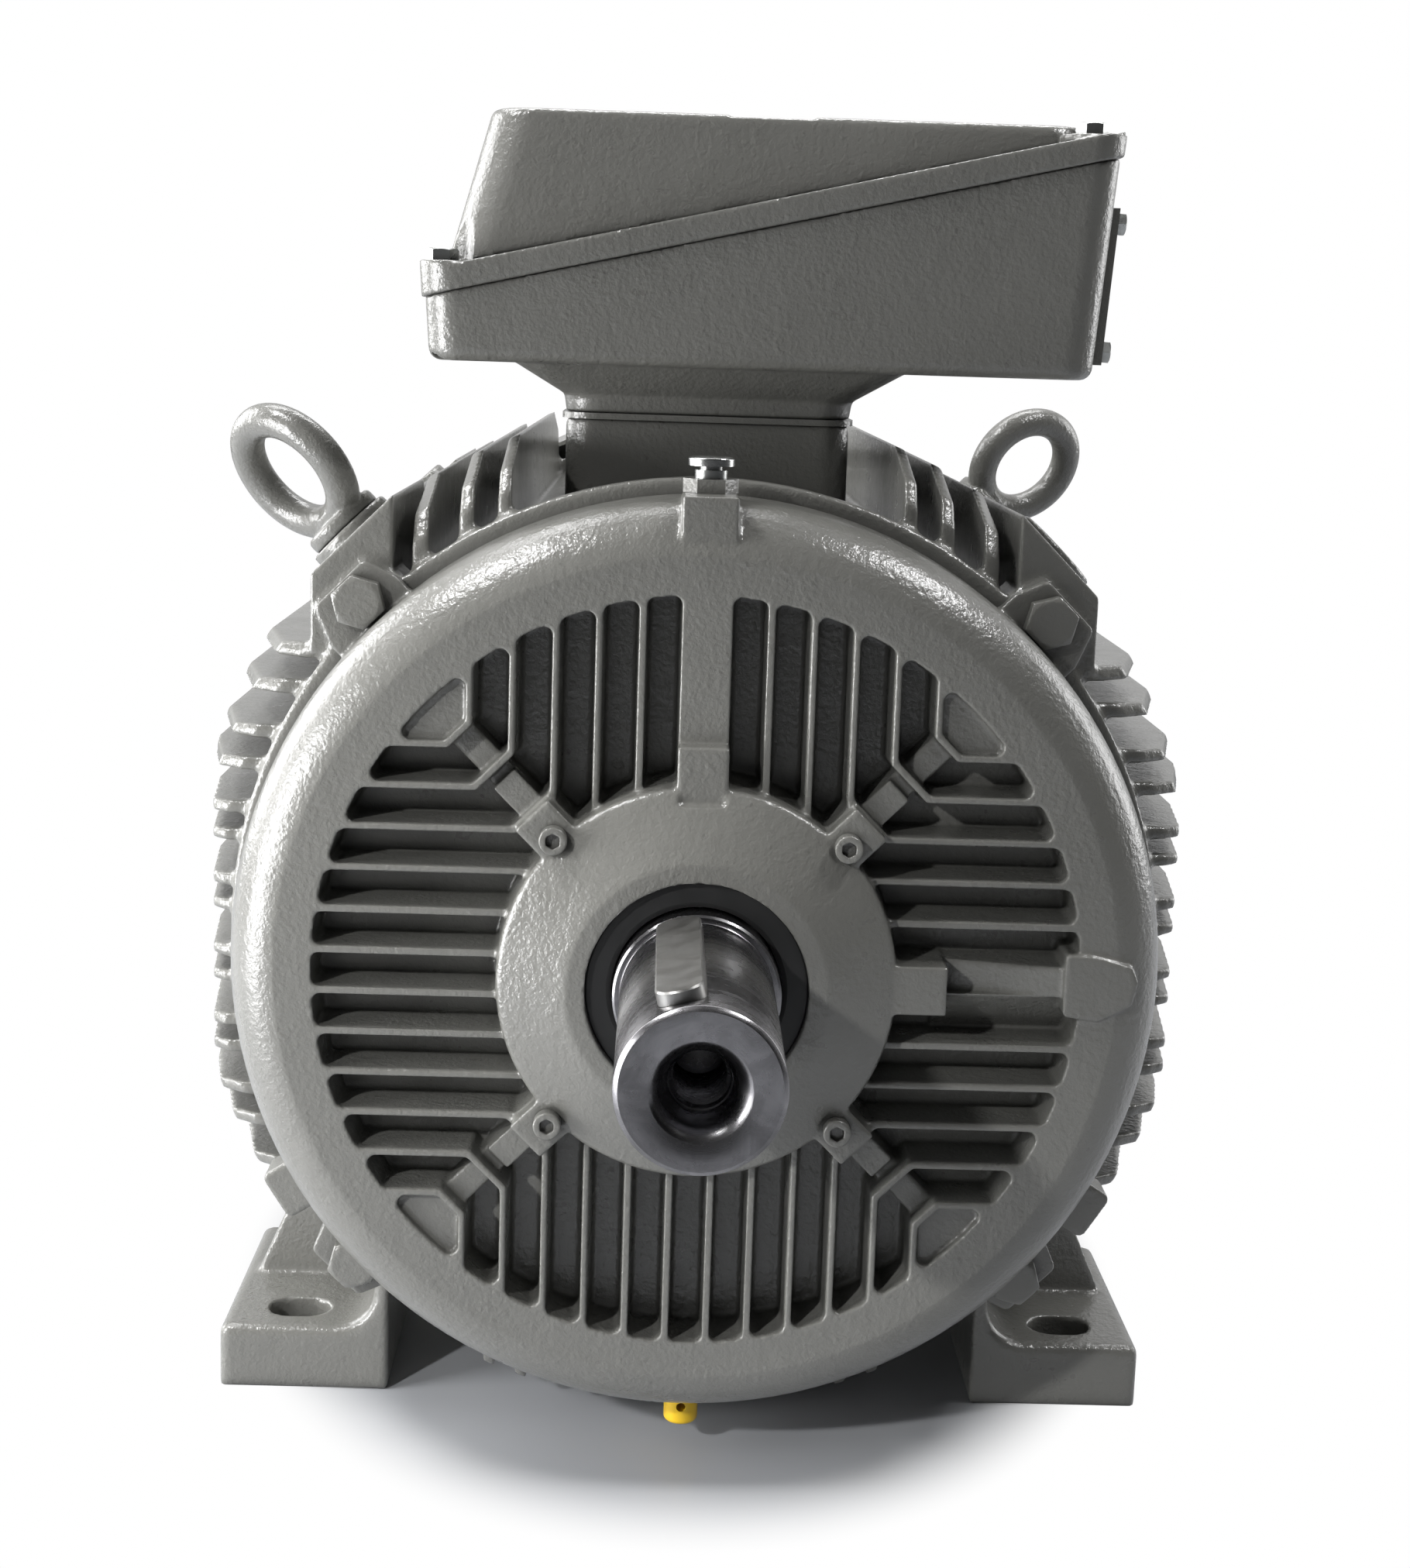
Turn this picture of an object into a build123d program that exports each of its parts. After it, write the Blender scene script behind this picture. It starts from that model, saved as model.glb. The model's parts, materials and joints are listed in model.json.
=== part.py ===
from build123d import *
import os
from math import atan2, cos, radians, sin, sqrt

# A foot-mounted squirrel-cage induction motor, frame size 200L, in millimetres.
# X is across the feet, Y runs along the shaft with the drive end towards -Y, Z is up.
# The origin is on the mounting plane, in the middle of the four foot holes.

# ---------------------------------------------------------------- driving dimensions
SHAFT_HEIGHT = 200.0
FOOT_SPACING_X = 318.0
FOOT_SPACING_Y = 305.0
SHOULDER_TO_HOLE = 133.0
SHAFT_D = 55.0
SHAFT_LENGTH = 110.0
BEARING_BORE = 60.0
BEARING_OD = 130.0
BEARING_WIDTH = 31.0
BALL_D = 22.2
BALL_COUNT = 8
CORE_OD = 327.0
CORE_ID = 210.0
CORE_LENGTH = 230.0
AIR_GAP = 0.6
OVERALL_LENGTH = 774.0

SHOULDER_Y = -FOOT_SPACING_Y / 2 - SHOULDER_TO_HOLE
SHAFT_END_Y = SHOULDER_Y - SHAFT_LENGTH
REAR_END_Y = SHAFT_END_Y + OVERALL_LENGTH
FIT = 0.05            # gap between parts pressed or bolted together
RUN = 1.0             # gap between turning and standing parts

# frame
FRAME_HALF_LENGTH = 205.0
BORE_R = CORE_OD / 2 + FIT
FRAME_WALL_R = 171.5
COLLAR_R = 178.5
COLLAR_T = 9.0
FIN_HALF_HEIGHT = 192.5
FIN_CORNER_R = 204.0
FIN_TIP_T = 4.4
FIN_SLOPE = 0.035
SIDE_FINS = (9.1, 19.3, 36.7, 47.4, 64.5, 77.0, 94.6, 108.5)
TOP_FINS = (76.3, 90.6, 107.8, 121.0)
LUG_R = 182.5
LUG_DEPTH = 34.0
LUG_EDGE = 6.5        # thickness of the shields' own lugs
PAD_R = 202.5         # distance of the corner pads from the shaft axis
PAD_X = (117.7, 148.8)
PAD_LOW_Z = 108.0     # above the shaft axis
PAD_Y = ((-203.0, -85.0), (75.0, 201.0))
EYEBOLT_SEAT_R = 208.5
EYEBOLT_SHIFT = 2.5   # how far the seats sit above the 45 degree lines
EYEBOLT_Y = (-117.0, 138.0)
EYE_HEIGHT = 30.5     # from the seat to the middle of the ring
BOLT_HOLE_R = 6.6

# feet
FOOT_OUTER_X = 189.0
FOOT_INNER_X = 119.8
FOOT_T = 26.0
FOOT_Y = (60.0, 175.0)
WEB_X = 126.0
GUSSET_Y = 115.0
GUSSET_T = 10.0
SLOT_W = 19.0
SLOT_L = 25.0

# drive-end shield
JOINT_Y = -FRAME_HALF_LENGTH
RIM_R = 172.6
RIM_Y = -236.0
FACE_Y = -260.0
FACE_R = 154.0
GRID_R = 140.0
FLOOR_Y = -237.0
FLOOR_BACK_Y = -229.0
HUB_R = 72.5
HUB_EDGE_Y = -268.0
HUB_TOP_R = 47.0
HUB_BASE_Y = -226.0
HUB_TOP_Y = -280.0
SEAL_OD = 80.0
SEAL_WIDTH = 8.0
RIB_PITCH = 15.27
RIB_T = 2.6
DRAFT_DEG = 2.0
POCKET_CORNER_R = 3.0
RECESS_DEPTH = 4.0
CHEVRON_LEGS = (14.0, 13.0, 8.0)
SPOKE_W = 10.5
SPOKE_Y = -251.0
BLOCK_W = 17.0
BLOCK_Y = HUB_EDGE_Y - 0.5
SCREW_NOTCH_R = 6.6
COVER_SCREW_R = 74.4
BEARING_FRONT_Y = -263.0
BEARING_REAR_Y = 232.0
SPIGOT_DEPTH = 8.0
SPRING_GAP = 2.5

# terminal box, which stands a little to the +X side
BOX_X = (-109.5, 148.5)
BOX_Y = (-168.0, 18.0)
BOX_Z = 418.0
BOX_GROWTH = 6.0      # how much the walls lean out over BOX_RISE
BOX_RISE = 92.0
BOX_WALL = 5.0
BOX_CORNER_R = 13.0
SPLIT_LEFT_Z = 441.3
SPLIT_SLOPE = 0.2268
COVER_TOP_Z = 514.5
COVER_FLANGE_T = 10.0
NECK_CENTRE_Y = -77.0
NECK_HALF_X = 57.0
NECK_HALF_Y = 60.0
NECK_BOTTOM_Z = 399.0
SADDLE_TOP_Z = 396.5
BOX_BOLTS = ((-104.5, -159.5), (143.0, -159.5), (-104.5, 9.5), (143.0, 9.5))

SADDLE_BOLTS = [(sx * 45.0, NECK_CENTRE_Y + sy * 48.0) for sx in (1, -1) for sy in (1, -1)]
LOW_LAND = 9.0        # height of the cover's low bolt lands above the joint
HIGH_LAND = 4.0       # depth of its high bolt lands below the top
GLAND_BOLTS = [(y, z) for y in (-141.0, -9.0) for z in (429.5, 479.0)]
GLAND_PLATE_Y = (-147.0, -3.0)
GLAND_PLATE_Z = (424.0, 484.5)
GLAND_GASKET_T = 0.9
GLAND_PLATE_T = 4.0
ENTRY_Y = (-109.0, -43.0)
ENTRY_Z = 454.5
ENTRY_R = 16.0
PLATE_FACE = GLAND_GASKET_T + GLAND_PLATE_T + 3 * FIT + 0.05
BOARD_SCREWS = [(-62.0, -77.0), (62.0, -77.0)]
STUD_X = (-42.0, 0.0, 42.0)
STUD_Y = (-94.0, -60.0)
STUDS = [(x, y) for x in STUD_X for y in STUD_Y]
STUD_NUT_Z = BOX_Z + 29.0

# active parts
STATOR_SLOTS = 36
ROTOR_R = CORE_ID / 2 - AIR_GAP
ROTOR_BARS = 28

# shaft
KEY_W = 16.0
KEY_H = 10.0
KEY_DEPTH = 6.0
KEY_L = 100.0
KEY_FROM_END = 5.0
KEY_TURN = -14.0      # how far the key stands off the top of the shaft
SEAM_TURN = 60.0      # keeps the seam of the shaft's round faces away from the key
THREAD_MINOR_R = 8.75
FAN_SEAT_Y = BEARING_REAR_Y + BEARING_WIDTH + 12
FAN_SEAT_R = 24.0
FAN_SHAFT_END_Y = FAN_SEAT_Y + 62
CIRCLIP_Y = FAN_SEAT_Y + 50

# fan cover, grease nipple and drains
COVER_BOSS_ANGLES = (20.0, 160.0, 200.0, 340.0)
FAN_SCREW_Y = FRAME_HALF_LENGTH + 25.0
FAN_COVER_R = 187.0
FAN_COVER_T = 2.0
NIPPLE_SEAT_R = 175.0
NIPPLE_Y = -238.0
DRAIN_Y = (-222.0, FRAME_HALF_LENGTH + 12.0)
DRAIN_STEM_R = 5.0
DRAIN_HEAD_R = 6.6
DRAIN_HEAD_LENGTHS = (15.2, 5.4)
DRAIN_CROSS_HOLE_R = 1.8

DIAGONALS = (45.0, 135.0, 225.0, 315.0)
SHAFT_AXIS = Axis((0, 0, SHAFT_HEIGHT), (0, 1, 0))
PROFILE = Plane(origin=(0, 0, SHAFT_HEIGHT), x_dir=(0, 1, 0), z_dir=(1, 0, 0))


# ---------------------------------------------------------------- drawing helpers
def facing_front(y):
    """Plane across the shaft at y, looking out of the drive end: local X is X, local Y is Z."""
    return Plane(origin=(0, y, SHAFT_HEIGHT), x_dir=(1, 0, 0), z_dir=(0, -1, 0))


def prism(outline, y_back, y_front):
    """Extrude an outline drawn round the shaft axis from y_back to y_front."""
    return extrude(facing_front(y_back) * outline, amount=y_back - y_front)


def pocket(outline, y_front, depth, taper):
    """Tapered plug that goes back from y_front, narrower at its floor."""
    return extrude(-(facing_front(y_front) * outline), amount=depth, taper=taper)


def turned(*points, radii=0.0):
    """Body of revolution about the shaft; points are (y, radius)."""
    line = FilletPolyline(*points, radius=radii, close=True)
    return revolve(PROFILE * make_face(line), axis=SHAFT_AXIS)


def ring(r_in, r_out, y_a, y_b, edge=0.0):
    """Plain ring round the shaft between y_a and y_b."""
    return turned((y_a, r_in), (y_b, r_in), (y_b, r_out), (y_a, r_out), radii=edge)


def disc(radius, y_a, y_b):
    """Plain disc on the shaft axis between y_a and y_b."""
    return prism(Circle(radius), max(y_a, y_b), min(y_a, y_b))


def around(part, angles):
    """Copies of a part turned about the shaft axis."""
    centre = Pos(0, 0, SHAFT_HEIGHT)
    back = Pos(0, 0, -SHAFT_HEIGHT)
    return [centre * Rot(0, angle, 0) * back * part for angle in angles]


def box_between(low, high):
    """Box from its lowest to its highest corner."""
    size = [b - a for a, b in zip(low, high)]
    centre = [(a + b) / 2 for a, b in zip(low, high)]
    return Pos(*centre) * Box(*size)


def hex_bolt(across_flats, head_h, shank_d, shank_l):
    """Hexagon head bolt along -Z with its bearing face at z = 0, and a chamfered head."""
    corner_r = across_flats / sqrt(3)
    head = extrude(RegularPolygon(radius=corner_r, side_count=6), amount=head_h)
    crown = Pos(0, 0, head_h / 2) * Cylinder(corner_r, head_h)
    crown = chamfer(crown.edges().group_by(Axis.Z)[-1], length=head_h * 0.14, length2=head_h * 0.3)
    shank = Pos(0, 0, -shank_l / 2) * Cylinder(shank_d / 2, shank_l)
    return head & crown, shank


def bolt(across_flats, head_h, shank_d, shank_l):
    """One-piece hexagon head bolt."""
    head, shank = hex_bolt(across_flats, head_h, shank_d, shank_l)
    return head + shank


def socket_screw(d, length):
    """Socket head cap screw along -Z with its bearing face at z = 0."""
    head = Pos(0, 0, d / 2) * Cylinder(d * 0.85, d)
    head = chamfer(head.edges().group_by(Axis.Z)[-1], length=d * 0.08)
    socket = Pos(0, 0, d * 0.45) * extrude(RegularPolygon(radius=d * 0.48, side_count=6), amount=d)
    return head - socket + Pos(0, 0, -length / 2) * Cylinder(d / 2, length)


def pointing(x, y, z, direction):
    """Place something that points along +Z so that it points along a direction."""
    return Plane(origin=(x, y, z), z_dir=direction).location


def on_diagonal(radius, angle, y):
    """Point at a radius and angle round the shaft."""
    return (radius * cos(radians(angle)), y, SHAFT_HEIGHT + radius * sin(radians(angle)))


def on_direction(angle):
    """Unit direction out of the shaft at an angle."""
    return (cos(radians(angle)), 0, sin(radians(angle)))


# ---------------------------------------------------------------- stator frame
def fin_envelope():
    """Space that the fins fill: a rounded square that tapers at both ends."""
    end = FRAME_HALF_LENGTH - 4
    barrel = turned(
        (-end, 0), (-end, 186), (-end + 7, 195), (-150, FIN_CORNER_R),
        (150, FIN_CORNER_R), (end - 7, 195), (end, 186), (end, 0))
    taper = [
        (-end, 181), (-end + 4, 186.5), (-150, FIN_HALF_HEIGHT),
        (150, FIN_HALF_HEIGHT), (end - 4, 186.5), (end, 181)]
    plan = [(half, y) for y, half in taper] + [(-half, y) for y, half in reversed(taper)]
    across = extrude(Pos(0, 0, -20) * make_face(Polyline(*plan, close=True)), amount=440)
    flipped = [(y, half) for half, y in plan]
    upright = extrude(PROFILE * make_face(Polyline(*flipped, close=True)), amount=220, both=True)
    return barrel & across & upright


def fin_outline(offset_z):
    """Cross-section of one drafted fin that points along +X."""
    root, reach = 100.0, 215.0
    root_half = (FIN_TIP_T + FIN_SLOPE * (FIN_HALF_HEIGHT - root)) / 2
    reach_half = (FIN_TIP_T + FIN_SLOPE * (FIN_HALF_HEIGHT - reach)) / 2
    return Polygon(
        (root, offset_z - root_half), (reach, offset_z - reach_half),
        (reach, offset_z + reach_half), (root, offset_z + root_half), align=None)


def fins():
    """All cooling fins, cut to the tapered envelope."""
    outlines = []
    for z in SIDE_FINS:
        for sign in (1, -1):
            outlines.append(fin_outline(sign * z))
            outlines.append(Rot(0, 0, 180) * fin_outline(sign * z))
    for x in TOP_FINS:
        for sign in (1, -1):
            outlines.append(Rot(0, 0, 90) * fin_outline(sign * x))
    for x in SIDE_FINS[:6]:
        for sign in (1, -1):
            outlines.append(Rot(0, 0, -90) * fin_outline(sign * x))
    half = FRAME_HALF_LENGTH - 4
    block = None
    for outline in outlines:
        fin = prism(outline, half, -half)
        block = fin if block is None else block + fin
    return (block & fin_envelope()) - disc(FRAME_WALL_R - 4, -half, half)


def lug_outline(flip):
    """Five-sided outline of a shield bolt lug along +X; flip mirrors it for alternate corners."""
    points = [(150, -19.8), (178, -19.8), (192.5, -14), (192.5, 11.7), (180, 16.3), (150, 16.3)]
    outline = Polygon(*[(u, flip * v) for u, v in points[::flip]], align=None)
    corners = [v for v in outline.vertices() if v.X > 151]
    return fillet(corners, 2.5)


def lugs(y_back, y_front):
    """The four bolt lugs round the shaft between two planes."""
    pieces = []
    for index, angle in enumerate(DIAGONALS):
        flip = 1 if index % 2 == 0 else -1
        pieces += around(prism(lug_outline(flip), y_back, y_front), (-angle,))
    return pieces


def corner_pad(y_a, y_b):
    """Cast pad on the upper +X corner of the frame, with upright sides and a flat at 45 degrees."""
    reach = PAD_R * sqrt(2)
    near, far = PAD_X
    outline = Polygon(
        (near, PAD_LOW_Z), (far, PAD_LOW_Z), (far, reach - far), (near, reach - near), align=None)
    return prism(outline, y_b, y_a)


def eyebolt_seat(side, y):
    """Plane of the eyebolt seat on the pad at +X (side 1) or -X (side -1), facing outwards."""
    across = side * (EYEBOLT_SEAT_R - EYEBOLT_SHIFT) * sqrt(0.5)
    height = SHAFT_HEIGHT + (EYEBOLT_SEAT_R + EYEBOLT_SHIFT) * sqrt(0.5)
    return Plane(origin=(across, y, height), x_dir=(0, 1, 0), z_dir=(side, 0, 1))


def foot(sign_x, sign_y):
    """One foot with its slot, inner web and gusset, from the mounting plane up to the barrel."""
    y_near, y_far = FOOT_Y
    outline = Polygon(
        (FOOT_INNER_X, 0), (FOOT_OUTER_X, 0), (FOOT_OUTER_X, FOOT_T), (WEB_X, FOOT_T),
        (WEB_X, 95), (110, 85), (108, 70), (FOOT_INNER_X, 48), align=None)
    inner = outline.vertices().sort_by_distance((WEB_X, FOOT_T, 0))[0]
    outline = fillet(inner, 16)
    outer = outline.vertices().sort_by_distance((FOOT_OUTER_X, FOOT_T, 0))[0]
    outline = fillet(outer, 4)
    plane = Plane(origin=(0, y_far, 0), x_dir=(1, 0, 0), z_dir=(0, -1, 0))
    body = extrude(plane * outline, amount=y_far - y_near)
    gusset = Polygon(
        (WEB_X - 4, FOOT_T - 2), (182.5, FOOT_T - 2), (182, FOOT_T + 2), (170, 55), (140, 103), (118, 112),
        align=None)
    gusset_plane = Plane(origin=(0, GUSSET_Y, 0), x_dir=(1, 0, 0), z_dir=(0, -1, 0))
    body += extrude(gusset_plane * gusset, amount=GUSSET_T)
    front_edges = body.edges().filter_by_position(Axis.Y, y_far - 0.1, y_far + 0.1)
    top_edge = front_edges.filter_by_position(Axis.Z, FOOT_T - 0.1, FOOT_T + 0.1)
    body = fillet(top_edge, 4)
    slot = Pos(FOOT_SPACING_X / 2, FOOT_SPACING_Y / 2, FOOT_T / 2) * extrude(
        SlotOverall(SLOT_L, SLOT_W), amount=FOOT_T * 2, both=True)
    body -= slot
    if sign_y < 0:
        body = mirror(body, about=Plane.XZ)
    if sign_x < 0:
        body = mirror(body, about=Plane.YZ)
    return body


def saddle():
    """Pad on top of the barrel that carries the terminal box."""
    low, high = 355.0, SADDLE_TOP_Z
    pad = box_between(
        (-NECK_HALF_X, NECK_CENTRE_Y - NECK_HALF_Y, low), (NECK_HALF_X, NECK_CENTRE_Y + NECK_HALF_Y, high))
    pad = fillet(pad.edges().filter_by(Axis.Z), 12)
    return pad


def make_stator_frame():
    """Cast frame: finned barrel, feet, corner blocks, shield lugs and the terminal box saddle."""
    half = FRAME_HALF_LENGTH
    body = disc(FRAME_WALL_R, -half, half) + fins()
    body += disc(COLLAR_R, -half, COLLAR_T - half) + disc(COLLAR_R, half - COLLAR_T, half)
    for piece in lugs(half, half - LUG_DEPTH) + lugs(LUG_DEPTH - half, -half):
        body += piece
    for y_a, y_b in PAD_Y:
        pad = corner_pad(y_a, y_b)
        body += pad
        body += mirror(pad, about=Plane.YZ)
    for side in (1, -1):
        for y in EYEBOLT_Y:
            body += eyebolt_seat(side, y).location * Pos(0, 0, -12) * Cylinder(19, 24)
    for sign_x in (1, -1):
        for sign_y in (1, -1):
            body += foot(sign_x, sign_y)
    body += saddle()
    body -= disc(BORE_R, -half - 1, half + 1)
    for end in (-1, 1):
        for angle in DIAGONALS:
            x, y, z = on_diagonal(LUG_R, angle, end * half)
            body -= pointing(x, y, z, (0, end, 0)) * Cylinder(6 + FIT, 60)
    for side, y in zip((-1, 1), EYEBOLT_Y):
        body -= eyebolt_seat(side, y).location * Cylinder(8 + FIT, 2 * 29)
    opening = box_between((-36, NECK_CENTRE_Y - 38, 300), (36, NECK_CENTRE_Y + 38, SADDLE_TOP_Z + 1))
    body -= fillet(opening.edges().filter_by(Axis.Z), 10)
    for x, y in SADDLE_BOLTS:
        body -= Pos(x, y, SADDLE_TOP_Z) * Cylinder(4 + FIT, 2 * 18)
    return body


# ---------------------------------------------------------------- drive-end shield
SECTOR_CELLS = {
    0: (-38.2, -22.9, -7.7, None, 7.7, 22.9, 38.2),
    90: (-38.2, -22.9, -7.65, 7.65, 22.9, 38.2),
    180: (-38.2, -22.9, -7.65, 7.65, 22.9, 38.2),
    270: (-38.2, -22.9, -6.5, None, 2.0, 22.9, 38.2),
}
CHEVRON_REACH = 160.0


def chevron_points(k):
    """Corner points of the k-th chevron rib of the first quadrant; k = 2 is a plain corner."""
    p = RIB_PITCH * (k + 0.5)
    leg = 0.01 if k == 2 else CHEVRON_LEGS[k - 3]
    return [(p, CHEVRON_REACH), (p, p + leg), (p + leg, p), (CHEVRON_REACH, p)]


def pocket_outlines(cells):
    """Inset raw cells by half a rib, keep the parts on the grid and round their corners."""
    field = Circle(GRID_R + RIB_T / 2) - Circle(HUB_R - 5)
    outlines = []
    for cell in cells:
        for piece in (cell & field).faces():
            core = offset(piece, amount=-(RIB_T / 2 + POCKET_CORNER_R))
            for small in core.faces():
                if small.area > 4:
                    outlines.append(offset(small, amount=POCKET_CORNER_R, kind=Kind.ARC).faces()[0])
    return outlines


def grid_pockets():
    """Outlines of the deep pockets between the ribs of the drive-end shield."""
    cells = []
    for turn, limits in SECTOR_CELLS.items():
        for low, high in zip(limits, limits[1:]):
            if low is None or high is None:
                continue
            cell = Polygon((low, 40), (high, 40), (high, CHEVRON_REACH), (low, CHEVRON_REACH), align=None)
            cells.append(Rot(0, 0, turn) * cell)
    block = Rot(0, 0, 45) * (Pos(70, 0) * Rectangle(40, BLOCK_W - RIB_T))
    for turn in SECTOR_CELLS:
        for k in range(2, 5):
            near, far = chevron_points(k), chevron_points(k + 1)
            cell = Polygon(*near, *reversed(far), align=None)
            if k == 2:
                cell -= block
            cells.append(Rot(0, 0, turn) * cell)
    return pocket_outlines(cells)


def corner_recesses():
    """Outlines of the shallow recesses beyond the outermost chevrons."""
    cells = []
    for turn in SECTOR_CELLS:
        cell = Polygon(*chevron_points(5), (CHEVRON_REACH, CHEVRON_REACH), align=None)
        cells.append(Rot(0, 0, turn) * cell)
    return pocket_outlines(cells)


def make_drive_end_shield():
    """Cast end shield with a grid of ribs round a domed hub, four bolt lugs and two jacking lugs."""
    seat_r = BEARING_OD / 2 + FIT
    dome = PROFILE * make_face(
        Polyline((FACE_Y, FACE_R), (FACE_Y, 60), (FLOOR_BACK_Y, 60), (FLOOR_BACK_Y, 150), (JOINT_Y, 158),
                 (JOINT_Y, RIM_R), (RIM_Y, RIM_R))
        + ThreePointArc((RIM_Y, RIM_R), (-252.5, 166.3), (FACE_Y, FACE_R)))
    body = revolve(dome, axis=SHAFT_AXIS)
    spigot_y = JOINT_Y + SPIGOT_DEPTH
    body += ring(154.5, BORE_R - FIT, spigot_y, JOINT_Y - 2)
    for outline in grid_pockets():
        body -= pocket(outline, FACE_Y - 0.01, FLOOR_Y - FACE_Y, DRAFT_DEG)
    for outline in corner_recesses():
        body -= pocket(outline, FACE_Y - 0.01, RECESS_DEPTH, DRAFT_DEG)
    body += turned(
        (HUB_TOP_Y, 20), (HUB_TOP_Y, HUB_TOP_R), (HUB_EDGE_Y, HUB_R), (HUB_BASE_Y, HUB_R + 2),
        (HUB_BASE_Y, 20), radii=(0, 1.5, 3, 0, 0))
    for quarter in range(4):
        turn = Rot(0, 0, 45 + 90 * quarter)
        block = Pos(COVER_SCREW_R - 1.5, 0) * Rectangle(26, BLOCK_W - 1)
        body += prism(turn * block, FLOOR_Y + 2, BLOCK_Y)
        inner = Pos(92, 0) * Rectangle(18, SPOKE_W)
        body += prism(turn * inner, FLOOR_Y + 2, SPOKE_Y - 5)
        outer_len = GRID_R - 84
        spoke = Pos(84 + outer_len / 2, 0) * Rectangle(outer_len + 3, SPOKE_W - 0.4)
        body += prism(turn * spoke, FLOOR_Y + 2.5, SPOKE_Y)
    body -= box_between((-8.5, HUB_TOP_Y, SHAFT_HEIGHT + 66), (8.5, BLOCK_Y, SHAFT_HEIGHT + 90))
    body += grease_channel()
    body -= outlet_ramp()
    body += outlet_duct()
    for piece in lugs(JOINT_Y, JOINT_Y - LUG_EDGE):
        body += piece - disc(150, JOINT_Y + 1, JOINT_Y - 20)
    for angle in (-32.5, 212.5):
        outline = Rot(0, 0, angle) * (Pos(170, 0) * Rectangle(36, 20))
        outline = fillet(outline.vertices(), 3)
        body += prism(outline, JOINT_Y, JOINT_Y - 18) - disc(160, JOINT_Y + 1, JOINT_Y - 30)
    body -= disc(seat_r, BEARING_FRONT_Y, -200)
    body -= ring(0, SEAL_OD / 2 + FIT, HUB_TOP_Y - 1, HUB_TOP_Y + 12.5)
    body -= disc(BEARING_BORE / 2 + RUN, HUB_TOP_Y, -240)
    body -= disc(50, HUB_TOP_Y + 15, -240)
    for angle in DIAGONALS:
        x, y, z = on_diagonal(LUG_R, angle, JOINT_Y)
        body -= pointing(x, y, z, (0, -1, 0)) * Cylinder(BOLT_HOLE_R, 60)
        x, y, z = on_diagonal(COVER_SCREW_R, angle, FLOOR_Y)
        body -= pointing(x, y, z, (0, -1, 0)) * Cylinder(3.3, 90)
        x, y, z = on_diagonal(COVER_SCREW_R, angle, BLOCK_Y - 10)
        body -= pointing(x, y, z, (0, -1, 0)) * Cylinder(SCREW_NOTCH_R, 20)
    body -= Pos(0, DRAIN_Y[0], 20) * Cylinder(DRAIN_STEM_R + FIT, 60)
    body -= Pos(0, NIPPLE_Y, SHAFT_HEIGHT + NIPPLE_SEAT_R - 3) * Cylinder(4 + FIT, 30)
    return body


def grease_channel():
    """Raised channel from the hub up to the grease nipple block on the shoulder."""
    top = SHAFT_HEIGHT + NIPPLE_SEAT_R
    channel = box_between((-9.2, BLOCK_Y, SHAFT_HEIGHT + 60), (9.2, FLOOR_Y + 2, SHAFT_HEIGHT + 86.8))
    block = box_between((-10, -252, 340), (10, -224, top))
    block = fillet(block.edges().filter_by(Axis.Z), 2)
    foot_block = box_between((-12.5, -249, 340), (12.5, -222, top - 4))
    foot_block = fillet(foot_block.edges().filter_by(Axis.Z), 4)
    return channel + block + foot_block


def outlet_ramp():
    """Wedge taken off the strip under the grease outlet, so that it dips towards the hub."""
    wedge = Polygon(
        (137, FACE_Y - 0.3), (90, -250.5), (70, -250.5), (70, FACE_Y - 2), (137, FACE_Y - 2), align=None)
    return extrude(Plane(origin=(0, 0, SHAFT_HEIGHT - 5.2)) * wedge, amount=14.6)


def outlet_duct():
    """Grease outlet on the +X side: boss at the hub, sloping bulge and outer block on the shoulder."""
    near = prism(Pos(81, 0) * Rectangle(19, 18), FLOOR_Y + 2, BLOCK_Y)
    section = Polygon((-258, -3.2), (-239, -20), (-236, -20), (-236, -3.2), align=None)
    start = Plane(origin=(88, 0, SHAFT_HEIGHT), x_dir=(0, 1, 0), z_dir=(1, 0, 0))
    bulge = extrude(start * section, amount=52)
    outline = Polygon(
        (134, -10), (147.4, -11.4), (159, -5.2), (161, 3.6), (158.6, 9.3), (145, 12.8), (134, 13.5),
        align=None)
    outer = prism(fillet(outline.vertices(), 2), -225, FACE_Y - 2)
    return near + bulge + outer


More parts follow.
